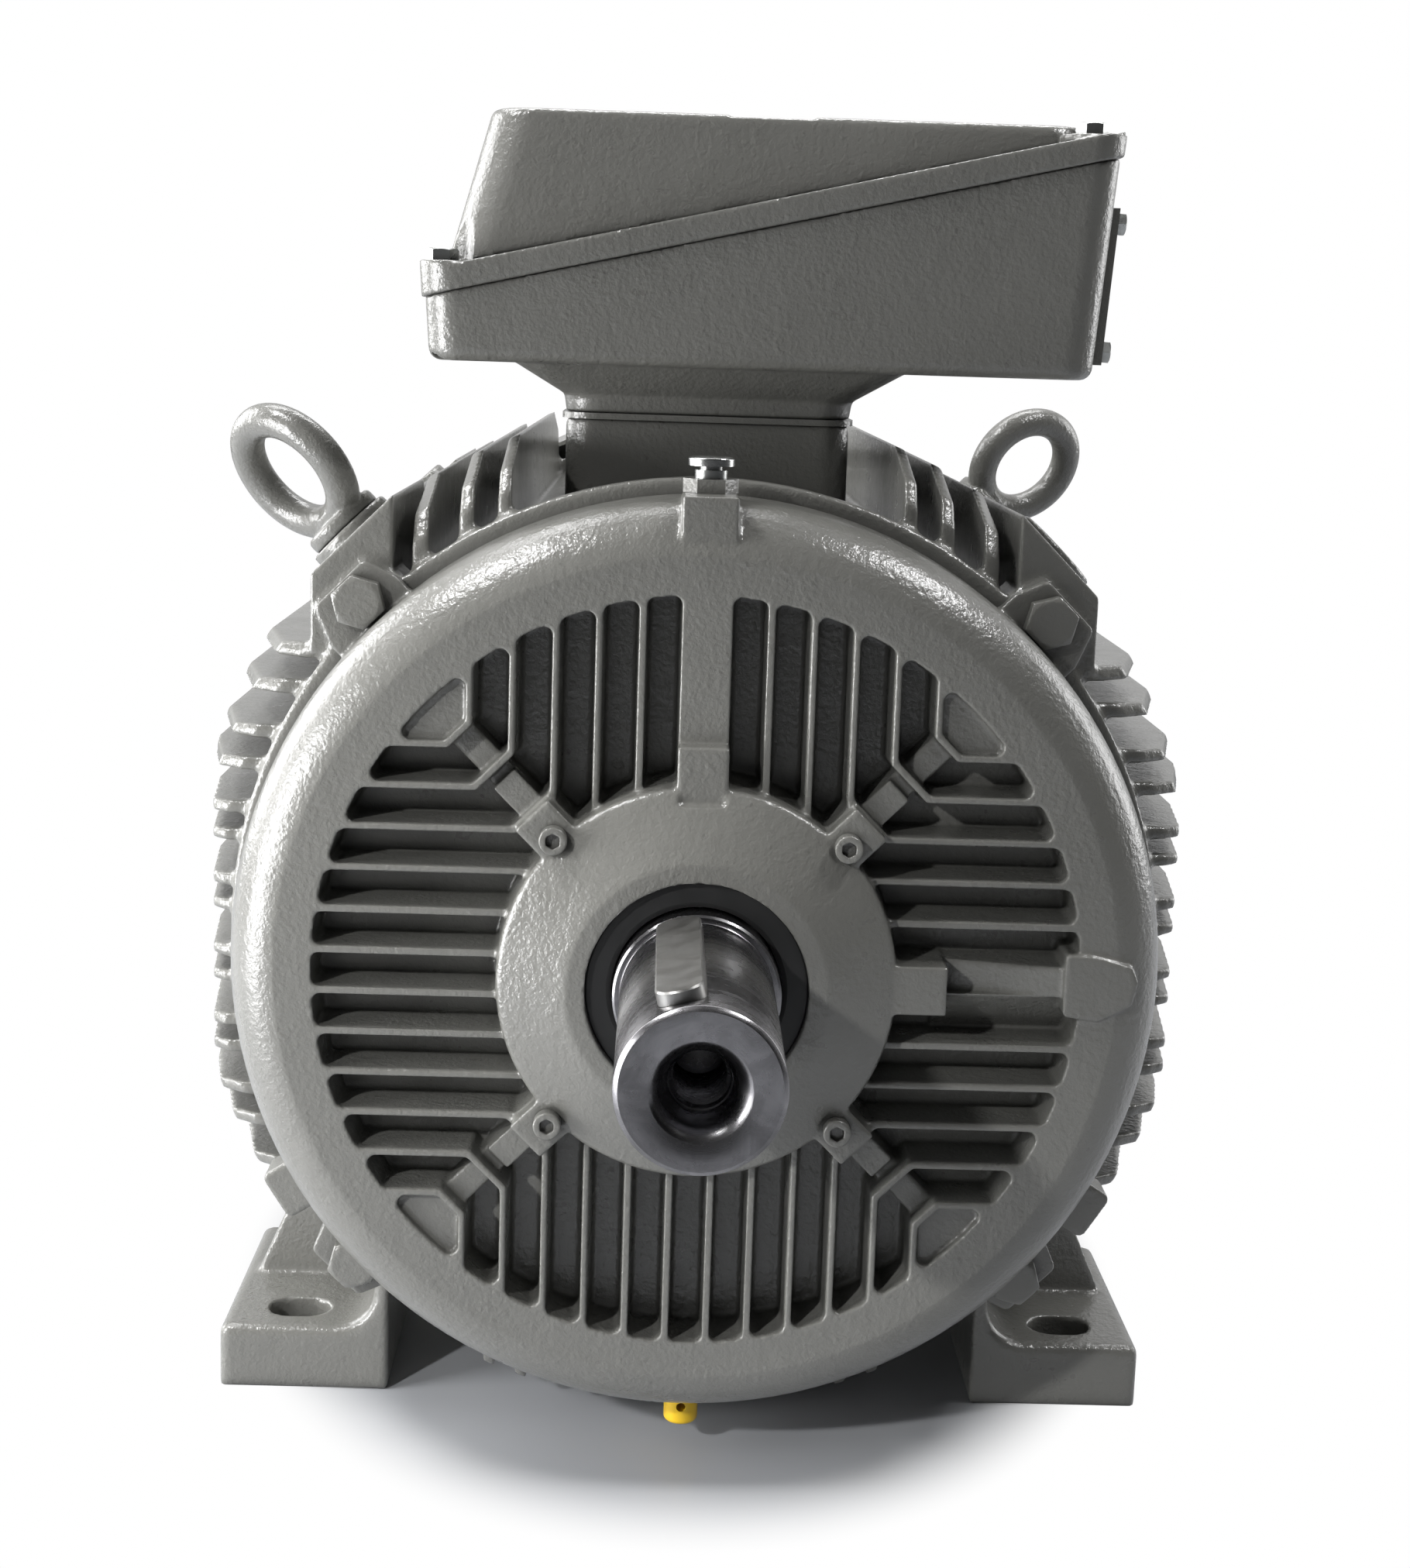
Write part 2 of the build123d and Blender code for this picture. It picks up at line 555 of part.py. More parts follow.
def make_rear_end_shield():
    """Cast rear shield: dished wall, bearing hub, bolt lugs and bosses for the fan cover."""
    joint = FRAME_HALF_LENGTH
    seat_r = BEARING_OD / 2 + FIT
    seat_end = BEARING_REAR_Y + BEARING_WIDTH
    body = turned(
        (joint, 158), (joint, RIM_R - 1), (joint + 14, RIM_R - 1), (joint + 30, 150), (joint + 36, 78),
        (seat_end + 9, 74), (seat_end + 9, 20), (BEARING_REAR_Y - 6, 20), (BEARING_REAR_Y - 6, 74),
        (joint + 22, 140), radii=(0, 2, 3, 8, 6, 3, 0, 0, 0, 4))
    body += ring(154.5, BORE_R - FIT, joint + 2, joint - SPIGOT_DEPTH)
    for piece in lugs(joint + LUG_EDGE, joint):
        body += piece - disc(150, joint + 20, joint - 1)
    rib_envelope = turned(
        (joint + 16, 60), (joint + 16, 164), (joint + 26, 158), (joint + 44, 76), (joint + 44, 60))
    for angle in range(0, 360, 30):
        rib = prism(Rot(0, 0, angle) * (Pos(112, 0) * Rectangle(84, 5)), joint + 44, joint + 20)
        body += rib & rib_envelope
    for angle in COVER_BOSS_ANGLES:
        boss = prism(Rot(0, 0, angle) * (Pos(166, 0) * Rectangle(36, 18)), joint + 33, joint + 16)
        body += boss
    body -= disc(seat_r, BEARING_REAR_Y - 20, seat_end)
    body -= disc(SEAL_OD / 2 + FIT, seat_end + 1, seat_end + 20)
    body -= disc(BEARING_BORE / 2 + RUN, 200, seat_end + 30)
    for angle in DIAGONALS:
        x, y, z = on_diagonal(LUG_R, angle, joint)
        body -= pointing(x, y, z, (0, 1, 0)) * Cylinder(BOLT_HOLE_R, 60)
        x, y, z = on_diagonal(COVER_SCREW_R, angle, joint)
        body -= pointing(x, y, z, (0, 1, 0)) * Cylinder(3.3, 160)
    for angle in COVER_BOSS_ANGLES:
        place = pointing(*on_diagonal(0, angle, FAN_SCREW_Y), on_direction(angle))
        body -= place * Pos(0, 0, 178) * Cylinder(3 + FIT, 36)
    body -= Pos(0, DRAIN_Y[1], 20) * Cylinder(DRAIN_STEM_R + FIT, 60)
    return body


# ---------------------------------------------------------------- fasteners
def make_shield_bolts(end):
    """Four M12 hexagon bolts through the lugs of one shield."""
    seat_y = end * (FRAME_HALF_LENGTH + LUG_EDGE + FIT)
    pieces = []
    for angle in DIAGONALS:
        x, y, z = on_diagonal(LUG_R, angle, seat_y)
        pieces.append(pointing(x, y, z, (0, end, 0)) * Rot(0, 0, angle) * bolt(18, 7.5, 12, 33))
    return Compound(children=pieces)


def make_bearing_cover_screws(end):
    """Four M6 socket screws that draw the inner bearing cover to the hub."""
    seat_y = BLOCK_Y - FIT if end < 0 else BEARING_REAR_Y + BEARING_WIDTH + 9 + FIT
    length = 50 if end < 0 else 46
    pieces = []
    for angle in DIAGONALS:
        x, y, z = on_diagonal(COVER_SCREW_R, angle, seat_y)
        pieces.append(pointing(x, y, z, (0, end, 0)) * socket_screw(6, length))
    return Compound(children=pieces)


# ---------------------------------------------------------------- active parts
def make_stator_core():
    """Laminated stator core with open slots towards the bore."""
    half = CORE_LENGTH / 2
    body = ring(CORE_ID / 2, CORE_OD / 2, -half, half)
    slot = prism(Pos(CORE_ID / 2 + 13, 0) * Rectangle(28, 7), half + 1, -half - 1)
    for piece in around(slot, [i * 360 / STATOR_SLOTS for i in range(STATOR_SLOTS)]):
        body -= piece
    return body


def make_stator_winding():
    """Copper coil sides in the slots with a bandaged end turn at each end."""
    half = CORE_LENGTH / 2
    coil = prism(Pos(CORE_ID / 2 + 14, 0) * Rectangle(24, 6.4), half + 2, -half - 2)
    body = turned((-half - 1, 108), (-half - 1, 146), (-half - 46, 152), (-half - 46, 116),
                  radii=(2, 2, 10, 10))
    body += turned((half + 1, 108), (half + 1, 146), (half + 46, 152), (half + 46, 116),
                   radii=(2, 2, 10, 10))
    for piece in around(coil, [i * 360 / STATOR_SLOTS for i in range(STATOR_SLOTS)]):
        body += piece
    return body


def make_rotor_core():
    """Laminated rotor core."""
    half = CORE_LENGTH / 2
    body = ring(36 + FIT, ROTOR_R, -half, half)
    bar = prism(Pos(ROTOR_R - 14, 0) * Rectangle(18, 5.4), half + 1, -half - 1)
    for piece in around(bar, [i * 360 / ROTOR_BARS for i in range(ROTOR_BARS)]):
        body -= piece
    return body


def make_rotor_cage():
    """Cast aluminium cage: bars, two end rings and their fan blades."""
    half = CORE_LENGTH / 2
    inner, outer = ROTOR_R - 28, ROTOR_R - 1.5
    body = ring(inner, outer, half + 0.1, half + 18, 2) + ring(inner, outer, -half - 18, -half - 0.1, 2)
    bar = prism(Pos(ROTOR_R - 14, 0) * Rectangle(17.6, 5.0), half + 2, -half - 2)
    for piece in around(bar, [i * 360 / ROTOR_BARS for i in range(ROTOR_BARS)]):
        body += piece
    blade = Pos(ROTOR_R - 13, 0) * Rectangle(18, 4)
    for end in (-1, 1):
        near, far = end * (half + 17), end * (half + 34)
        piece = prism(blade, max(near, far), min(near, far))
        for copy in around(piece, [i * 30 + 7 for i in range(12)]):
            body += copy
    return body


# ---------------------------------------------------------------- shaft
def make_shaft():
    """Stepped shaft with a keyed drive end, a threaded centre hole and a fan seat."""
    bearing_back = BEARING_FRONT_Y + BEARING_WIDTH
    seat_r = BEARING_BORE / 2
    points = [
        (SHAFT_END_Y, 0), (SHAFT_END_Y, SHAFT_D / 2 - 1.5), (SHAFT_END_Y + 1.5, SHAFT_D / 2),
        (SHOULDER_Y, SHAFT_D / 2), (SHOULDER_Y, seat_r - 0.8), (SHOULDER_Y + 0.8, seat_r),
        (bearing_back, seat_r), (bearing_back, 36), (BEARING_REAR_Y, 36), (BEARING_REAR_Y, seat_r),
        (FAN_SEAT_Y, seat_r), (FAN_SEAT_Y, FAN_SEAT_R), (FAN_SHAFT_END_Y, FAN_SEAT_R), (FAN_SHAFT_END_Y, 0)]
    body = around(turned(*points), (SEAM_TURN,))[0]
    keyway = SlotOverall(KEY_L + 0.5, KEY_W)
    plane = Plane(
        origin=(0, SHAFT_END_Y + KEY_FROM_END + KEY_L / 2, SHAFT_HEIGHT + SHAFT_D / 2 - KEY_DEPTH),
        x_dir=(0, 1, 0), z_dir=(0, 0, 1))
    cut = extrude(plane * keyway, amount=KEY_DEPTH + 5)
    body -= around(cut, (KEY_TURN,))[0]
    body -= centre_hole()
    groove = ring(FAN_SEAT_R - 1.2, FAN_SEAT_R + 2, CIRCLIP_Y, CIRCLIP_Y + 1.9)
    body -= groove
    keyway_z = SHAFT_HEIGHT + FAN_SEAT_R
    body -= box_between((-5, FAN_SEAT_Y + 6, keyway_z - 5), (5, FAN_SEAT_Y + 42, keyway_z + 5))
    return body


def centre_hole():
    """Stepped centring with an M20 thread, cut at its minor diameter."""
    y = SHAFT_END_Y
    return turned(
        (y - 1, 0), (y - 1, 16.6), (y + 2.2, 14.2), (y + 10.5, 10.5), (y + 15, 10.5),
        (y + 15, THREAD_MINOR_R),
        (y + 53, THREAD_MINOR_R), (y + 58, 0))


def make_shaft_key():
    """Round-ended parallel key."""
    plane = Plane(
        origin=(0, SHAFT_END_Y + KEY_FROM_END + KEY_L / 2 + 0.5,
                SHAFT_HEIGHT + SHAFT_D / 2 - KEY_DEPTH + FIT),
        x_dir=(0, 1, 0), z_dir=(0, 0, 1))
    key = extrude(plane * SlotOverall(KEY_L - 1.5, KEY_W - 2 * FIT), amount=KEY_H - FIT)
    key = chamfer(key.edges().group_by(Axis.Z)[-1], 0.6)
    return around(key, (KEY_TURN,))[0]


def make_fan_key():
    """Small key that drives the cooling fan."""
    return box_between(
        (-5 + FIT, FAN_SEAT_Y + 6 + FIT, SHAFT_HEIGHT + FAN_SEAT_R - 5 + FIT),
        (5 - FIT, FAN_SEAT_Y + 42 - FIT, SHAFT_HEIGHT + FAN_SEAT_R + 3))


def make_fan_circlip():
    """Retaining ring behind the fan hub."""
    clip = ring(FAN_SEAT_R - 1.2 + FIT, FAN_SEAT_R + 4, CIRCLIP_Y + FIT, CIRCLIP_Y + 1.75)
    gap = box_between((-4, CIRCLIP_Y - 1, SHAFT_HEIGHT - 40), (4, CIRCLIP_Y + 4, SHAFT_HEIGHT))
    return clip - gap


# ---------------------------------------------------------------- bearings and seals
def bearing_parts(y_front):
    """Rings, balls and cage of one deep-groove ball bearing."""
    y_mid = y_front + BEARING_WIDTH / 2
    y_back = y_front + BEARING_WIDTH
    pitch_r = (BEARING_BORE + BEARING_OD) / 4
    ball_r = BALL_D / 2
    groove_r = ball_r * 1.04
    race = Torus(pitch_r, groove_r)
    race = Pos(0, y_mid, SHAFT_HEIGHT) * Rot(90, 0, 0) * race
    inner = ring(BEARING_BORE / 2 + 0.01, pitch_r - 5.2, y_front, y_back, 1.0) - race
    outer = ring(pitch_r + 5.2, BEARING_OD / 2 - 0.01, y_front, y_back, 1.0) - race
    angles = [i * 360 / BALL_COUNT for i in range(BALL_COUNT)]
    ball = Pos(0, y_mid, SHAFT_HEIGHT + pitch_r) * Sphere(ball_r)
    balls = Compound(children=around(ball, angles))
    cage = ring(pitch_r - 2.6, pitch_r + 2.6, y_mid - 11.6, y_mid + 11.6, 0.8)
    hole = Pos(0, y_mid, SHAFT_HEIGHT + pitch_r) * Sphere(ball_r + 0.15)
    for piece in around(hole, angles):
        cage -= piece
    return inner, outer, balls, cage


def make_bearing_cover(end):
    """Inner bearing cover with a grease chamber, four ears and a bore that clears the shaft."""
    if end < 0:
        face, outside, inside = BEARING_FRONT_Y + BEARING_WIDTH + 0.3, -226 + FIT, -214.0
    else:
        face = BEARING_REAR_Y - SPRING_GAP - 0.3
        outside, inside = BEARING_REAR_Y - 6 - FIT, BEARING_REAR_Y - 18
    chamber = (outside + inside) / 2
    body = disc(69, outside, inside)
    for angle in DIAGONALS:
        ear = Rot(0, 0, angle) * (Pos(72, 0) * Rectangle(22, 18))
        body += prism(ear, max(outside, inside), min(outside, inside))
    body += disc(BEARING_OD / 2 - 0.3, face, outside)
    body -= disc(52, face + 3 * end, chamber)
    body -= disc(36 + RUN, face + 10 * end, inside - 10 * end)
    for angle in DIAGONALS:
        x, y, z = on_diagonal(COVER_SCREW_R, angle, chamber)
        body -= pointing(x, y, z, (0, 1, 0)) * Cylinder(3 + FIT, 40)
    return body


def make_wave_spring():
    """Preload spring between the rear bearing cover and the outer ring, thinned in waves."""
    body = ring(57.0, 64.0, BEARING_REAR_Y - SPRING_GAP, BEARING_REAR_Y - 0.1)
    for index in range(6):
        low = index % 2 == 0
        flat = box_between((-14, -4, 50), (14, 0, 70)) if low else box_between((-14, 0, 50), (14, 4, 70))
        wave = Pos(0, BEARING_REAR_Y - 0.1 - SPRING_GAP / 2 + (-0.5 if low else 0.5), SHAFT_HEIGHT)
        body -= wave * Rot(0, 60 * index, 0) * flat
    return body


def make_shaft_seal(y_front):
    """Radial shaft seal with a sprung lip that just clears the shaft."""
    outer_r = SEAL_OD / 2
    lip_r = BEARING_BORE / 2 + 0.08
    y_back = y_front + SEAL_WIDTH
    return turned(
        (y_front, outer_r - 0.6), (y_front + 0.6, outer_r), (y_back, outer_r), (y_back, outer_r - 4),
        (y_front + 3, outer_r - 4), (y_back - 1, lip_r + 2.6), (y_back - 2, lip_r),
        (y_front + 1, lip_r + 0.6),
        (y_front, lip_r + 2.4))


# ---------------------------------------------------------------- cooling fan and its cover
def make_cooling_fan():
    """Radial fan: hub, back plate and straight blades, so it cools in both directions."""
    y0 = FAN_SEAT_Y + 2
    hub = ring(FAN_SEAT_R + FIT, 36, y0, CIRCLIP_Y - FIT, 0.5)
    plate = turned((y0 + 2, 34), (y0 + 2, 70), (y0 - 2, 150), (y0 + 1.5, 150), (y0 + 6, 70), (y0 + 6, 34))
    body = hub + plate
    side = Plane(origin=(0, 0, SHAFT_HEIGHT), x_dir=(0, 1, 0), z_dir=(1, 0, 0))
    blade_face = Polygon(
        (y0 + 3, 34), (y0 + 46, 34), (y0 + 46, 60), (y0 + 38, 118), (y0 + 34, 150), (y0 - 1, 150),
        (y0 + 3, 70), align=None)
    blade = extrude(side * blade_face, amount=2, both=True)
    for piece in around(blade, [i * 360 / 8 + 22.5 for i in range(8)]):
        body += piece
    keyway = box_between((-5, y0 - 5, SHAFT_HEIGHT), (5, CIRCLIP_Y + 5, SHAFT_HEIGHT + FAN_SEAT_R + 3 + FIT))
    body -= keyway
    body -= disc(FAN_SEAT_R + FIT, y0 - 10, CIRCLIP_Y + 10)
    return body


def make_fan_cover():
    """Pressed steel cowl with a ring-slot guard in its rear face."""
    y_front = FRAME_HALF_LENGTH + 16
    outer = turned(
        (y_front, 0), (y_front, FAN_COVER_R), (REAR_END_Y, FAN_COVER_R), (REAR_END_Y, 0), radii=(0, 0, 18, 0))
    inner = turned(
        (y_front - 1, 0), (y_front - 1, FAN_COVER_R - FAN_COVER_T),
        (REAR_END_Y - FAN_COVER_T, FAN_COVER_R - FAN_COVER_T), (REAR_END_Y - FAN_COVER_T, 0),
        radii=(0, 0, 16, 0))
    body = outer - inner
    slots = None
    for r_in in range(34, 146, 12):
        band = Circle(r_in + 7.5) - Circle(r_in)
        slots = band if slots is None else slots + band
    for angle in range(0, 180, 30):
        slots -= Rot(0, 0, angle) * Rectangle(320, 7)
    body -= prism(slots, REAR_END_Y + 1, REAR_END_Y - 10)
    for angle in COVER_BOSS_ANGLES:
        place = pointing(*on_diagonal(0, angle, FAN_SCREW_Y), on_direction(angle))
        body -= place * Pos(0, 0, 186) * Cylinder(3.3, 20)
    return body


def make_fan_cover_screws():
    """Four M6 hexagon screws that hold the cowl to the rear shield."""
    pieces = []
    for angle in COVER_BOSS_ANGLES:
        place = pointing(*on_diagonal(FAN_COVER_R + FIT, angle, FAN_SCREW_Y), on_direction(angle))
        pieces.append(place * bolt(10, 4, 6, 16))
    return Compound(children=pieces)


# ---------------------------------------------------------------- terminal box
def split_z(x):
    """Height of the joint between terminal box and cover at x."""
    return SPLIT_LEFT_Z + (x + 114.0) * SPLIT_SLOPE


def tapered_block(inset, z_low, z_high, grow=BOX_GROWTH, corner=BOX_CORNER_R):
    """Block with rounded corners whose walls lean out with height."""
    faces = []
    for z in (z_low, z_high):
        lean = grow * (z - BOX_Z) / BOX_RISE
        width = BOX_X[1] - BOX_X[0] + 2 * (lean - inset)
        depth = BOX_Y[1] - BOX_Y[0] + 2 * (lean - inset)
        outline = RectangleRounded(width, depth, max(corner - inset, 2))
        faces.append(Pos((BOX_X[0] + BOX_X[1]) / 2, (BOX_Y[0] + BOX_Y[1]) / 2, z) * outline)
    return loft(faces)


def below_split(raise_by):
    """Everything under the sloping joint plane, lifted by raise_by."""
    x0, x1 = -200.0, 230.0
    outline = Polygon(
        (x0, 300), (x1, 300), (x1, split_z(x1) + raise_by), (x0, split_z(x0) + raise_by), align=None)
    plane = Plane(origin=(0, 80, 0), x_dir=(1, 0, 0), z_dir=(0, -1, 0))
    return extrude(plane * outline, amount=320)


def neck_solid(inset):
    """Flared neck between the saddle and the floor of the box."""
    low = Pos(0, NECK_CENTRE_Y, NECK_BOTTOM_Z) * RectangleRounded(
        2 * (NECK_HALF_X - inset), 2 * (NECK_HALF_Y - inset), 14)
    mid = Pos(0, NECK_CENTRE_Y, NECK_BOTTOM_Z + 7) * RectangleRounded(
        2 * (NECK_HALF_X + 1 - inset), 2 * (NECK_HALF_Y + 1 - inset), 14)
    top = Pos(0, NECK_CENTRE_Y, BOX_Z + 1) * RectangleRounded(
        2 * (NECK_HALF_X + 22 - inset), 2 * (NECK_HALF_Y + 18 - inset), 14)
    return loft([low, mid]) + loft([mid, top])


def make_terminal_box_base():
    """Cast lower half of the terminal box with its flared neck and cable entry side."""
    shell = tapered_block(0, BOX_Z, BOX_Z + BOX_RISE)
    shell = fillet(shell.edges().group_by(Axis.Z)[0], 5)
    shell &= below_split(-FIT)
    cavity = tapered_block(BOX_WALL, BOX_Z + BOX_WALL, BOX_Z + BOX_RISE + 10)
    body = shell - cavity + neck_solid(0)
    throat = box_between((-34, NECK_CENTRE_Y - 36, 380), (34, NECK_CENTRE_Y + 36, BOX_Z + 10))
    body -= fillet(throat.edges().filter_by(Axis.Z), 10)
    for x, y in BOX_BOLTS:
        top = split_z(x) - 0.5
        post = Pos(x, y, (BOX_Z + 10 + top) / 2) * Cylinder(9, top - BOX_Z - 10)
        body += (post & tapered_block(1, BOX_Z + 2, BOX_Z + BOX_RISE)) & below_split(-FIT)
    for x, y in BOX_BOLTS:
        body -= Pos(x, y, split_z(x) - 12) * Cylinder(3 + FIT, 60)
    for x, y in SADDLE_BOLTS:
        body -= Pos(x, y, NECK_BOTTOM_Z) * Cylinder(4.5, 80)
        body -= Pos(x, y, BOX_Z + 12) * Cylinder(8, 22)
    wall_x = BOX_X[1]
    entry = box_between((wall_x - 12, -133, 435), (wall_x + 20, -17, 475))
    body -= entry
    for y, z in GLAND_BOLTS:
        body -= out_of_wall(y, z) * Cylinder(2.5 + FIT, 26)
    for x, y in BOARD_SCREWS:
        boss = Pos(x, y, BOX_Z + 9) * Cylinder(6, 14)
        body += boss
        body -= Pos(x, y, BOX_Z + 12) * Cylinder(2.5 + FIT, 16)
    return body


def land_height(x):
    """Height of the flat on which the head of the cover bolt at x sits."""
    return split_z(-90) + LOW_LAND if x < 0 else COVER_TOP_Z - HIGH_LAND


def make_terminal_box_cover():
    """Cast cover with a sloping flange and a drafted dome."""
    outline = tapered_block(-1.5, BOX_Z - 10, COVER_TOP_Z + 40)
    body = (outline & below_split(COVER_FLANGE_T)) - below_split(FIT)
    dome_low = Pos(20, (BOX_Y[0] + BOX_Y[1]) / 2, 452) * RectangleRounded(249, 176, 18)
    dome_high = Pos(29, (BOX_Y[0] + BOX_Y[1]) / 2, COVER_TOP_Z) * RectangleRounded(233, 158, 18)
    dome = loft([dome_low, dome_high])
    dome = fillet(dome.edges().group_by(Axis.Z)[-1], 4)
    body += dome - below_split(COVER_FLANGE_T - 1)
    for x, y in BOX_BOLTS:
        land_top = land_height(x)
        clearance = Pos(x, y, land_top + 30) * Cylinder(11.5, 60)
        outwards_x = -12 if x < 0 else 12
        outwards_y = -12 if y < -77 else 12
        corner = Pos(x + outwards_x, y + outwards_y, land_top + 30) * Box(24, 24, 60)
        land = Pos(x, y, land_top / 2 + split_z(x) / 2) * Cylinder(11.5, max(land_top - split_z(x), 2))
        body += (land & outline) - below_split(FIT)
        body -= clearance
        body -= corner
        body -= Pos(x, y, land_top) * Cylinder(3.4, 60)
    inner_low = Pos(20, (BOX_Y[0] + BOX_Y[1]) / 2, 452) * RectangleRounded(239, 166, 14)
    inner_high = Pos(29, (BOX_Y[0] + BOX_Y[1]) / 2, COVER_TOP_Z - 5) * RectangleRounded(221, 146, 14)
    cavity = loft([inner_low, inner_high])
    keep = None
    for x, y in BOX_BOLTS:
        post = Pos(x, y, 480) * Cylinder(10, 120)
        keep = post if keep is None else keep + post
    body -= (cavity & tapered_block(BOX_WALL, 430, 530)) - keep
    body -= (tapered_block(BOX_WALL, BOX_Z, BOX_Z + BOX_RISE) & below_split(COVER_FLANGE_T)) - keep
    notch = box_between((4, BOX_Y[0] - 10, COVER_TOP_Z - 1.0), (38, BOX_Y[1] + 10, COVER_TOP_Z + 5))
    body -= notch
    return body


def make_cover_gasket():
    """Thin seal in the sloping joint between box and cover."""
    outer = tapered_block(1.2, BOX_Z, BOX_Z + BOX_RISE + 10)
    inner = tapered_block(BOX_WALL - 1, BOX_Z - 5, BOX_Z + BOX_RISE + 15)
    body = ((outer - inner) & below_split(FIT - 0.01)) - below_split(0.01 - FIT)
    for x, y in BOX_BOLTS:
        body -= Pos(x, y, split_z(x)) * Cylinder(3.4, 20)
    return body


def make_cover_bolts():
    """Four M6 hexagon bolts that hold the cover."""
    pieces = []
    for x, y in BOX_BOLTS:
        land_top = land_height(x)
        pieces.append(Pos(x, y, land_top + FIT) * bolt(11, 4.5, 6, land_top - split_z(x) + 16))
    return Compound(children=pieces)


def make_neck_gasket():
    """Gasket between the saddle and the neck of the terminal box."""
    plate = Pos(0, NECK_CENTRE_Y, SADDLE_TOP_Z + FIT) * extrude(
        RectangleRounded(2 * NECK_HALF_X + 3, 2 * NECK_HALF_Y + 3, 14),
        amount=NECK_BOTTOM_Z - SADDLE_TOP_Z - 2 * FIT)
    hole = box_between((-34, NECK_CENTRE_Y - 36, 390), (34, NECK_CENTRE_Y + 36, 405))
    body = plate - hole
    for x, y in SADDLE_BOLTS:
        body -= Pos(x, y, 398) * Cylinder(4.5, 20)
    return body


def make_box_mounting_screws():
    """Four M8 screws that hold the box to the saddle."""
    pieces = []
    for x, y in SADDLE_BOLTS:
        pieces.append(Pos(x, y, BOX_Z + 1 + FIT) * bolt(13, 5.3, 8, 34))
    return Compound(children=pieces)


def entry_wall_x(z):
    """Outer face of the +X wall at a height."""
    return BOX_X[1] + BOX_GROWTH * (z - BOX_Z) / BOX_RISE


def out_of_wall(y, z, stand_off=0.0):
    """Place something that points straight out of the leaning +X wall."""
    lean = atan2(BOX_GROWTH, BOX_RISE)
    normal = (cos(lean), 0, -sin(lean))
    origin = (entry_wall_x(z) + stand_off * normal[0], y, z + stand_off * normal[2])
    return Plane(origin=origin, x_dir=(0, 1, 0), z_dir=normal).location


def plate_on_wall(y_a, y_b, z_a, z_b, start, thickness):
    """Plate that lies against the leaning +X wall."""
    outline = Polygon(
        (entry_wall_x(z_a) + start, z_a), (entry_wall_x(z_a) + start + thickness, z_a),
        (entry_wall_x(z_b) + start + thickness, z_b), (entry_wall_x(z_b) + start, z_b), align=None)
    plane = Plane(origin=(0, y_b, 0), x_dir=(1, 0, 0), z_dir=(0, -1, 0))
    return extrude(plane * outline, amount=y_b - y_a)


def make_gland_gasket():
    """Gasket under the cable entry plate."""
    body = plate_on_wall(*GLAND_PLATE_Y, *GLAND_PLATE_Z, FIT, GLAND_GASKET_T)
    body -= box_between((130, -132, 436), (180, -18, 474))
    for y, z in GLAND_BOLTS:
        body -= out_of_wall(y, z) * Cylinder(3, 40)
    return body


def make_gland_plate():
    """Cable entry plate with two threaded entries."""
    body = plate_on_wall(*GLAND_PLATE_Y, *GLAND_PLATE_Z, GLAND_GASKET_T + 2 * FIT, GLAND_PLATE_T)
    for y in ENTRY_Y:
        body -= out_of_wall(y, ENTRY_Z) * Cylinder(ENTRY_R, 40)
    for y, z in GLAND_BOLTS:
        body -= out_of_wall(y, z) * Cylinder(3, 40)
    return body


def make_gland_plate_bolts():
    """Four M5 hexagon screws in the corners of the entry plate."""
    pieces = []
    for y, z in GLAND_BOLTS:
        pieces.append(out_of_wall(y, z, PLATE_FACE) * bolt(8, 3.5, 5, 14))
    return Compound(children=pieces)


def make_cable_entry_plugs():
    """Two blanking plugs screwed into the cable entries."""
    pieces = []
    for y in ENTRY_Y:
        cap = Pos(0, 0, 1.5) * Cylinder(ENTRY_R + 2.5, 3)
        cap = fillet(cap.edges().group_by(Axis.Z)[-1], 1.0)
        stem = Pos(0, 0, -5) * Cylinder(ENTRY_R - FIT, 12)
        slot = Pos(0, 0, 3) * Box(20, 3, 3.6)
        pieces.append(out_of_wall(y, ENTRY_Z, PLATE_FACE) * (cap + stem - slot))
    return Compound(children=pieces)


def make_terminal_board():
    """Moulded board that carries the six winding studs."""
    board = box_between((-72, -113, BOX_Z + 16 + FIT), (72, -41, BOX_Z + 26))
    board = fillet(board.edges().filter_by(Axis.Z), 5)
    for x in (-21, 21):
        board += box_between((x - 1.2, -112, BOX_Z + 20), (x + 1.2, -42, BOX_Z + 34))
    for x, y in STUDS:
        board -= Pos(x, y, BOX_Z + 20) * Cylinder(3 + FIT, 40)
    for x, y in BOARD_SCREWS:
        board -= Pos(x, y, BOX_Z + 20) * Cylinder(2.8, 40)
    return board


def make_terminal_studs():
    """Six M6 brass studs, each with its base nut."""
    pieces = []
    for x, y in STUDS:
        stud = Pos(x, y, BOX_Z + 28) * Cylinder(3, 34)
        nut = Pos(x, y, BOX_Z + 26 + FIT) * extrude(RegularPolygon(radius=5.77, side_count=6), amount=3)
        pieces.append(stud + nut)
    return Compound(children=pieces)


def make_terminal_links():
    """Three brass links that join the studs in pairs."""
    pieces = []
    for x in STUD_X:
        bar = Pos(x, -77, STUD_NUT_Z + 1.1) * extrude(SlotOverall(46, 12, rotation=90), amount=2)
        for y in STUD_Y:
            bar -= Pos(x, y, STUD_NUT_Z) * Cylinder(3.2, 12)
        pieces.append(bar)
    return Compound(children=pieces)


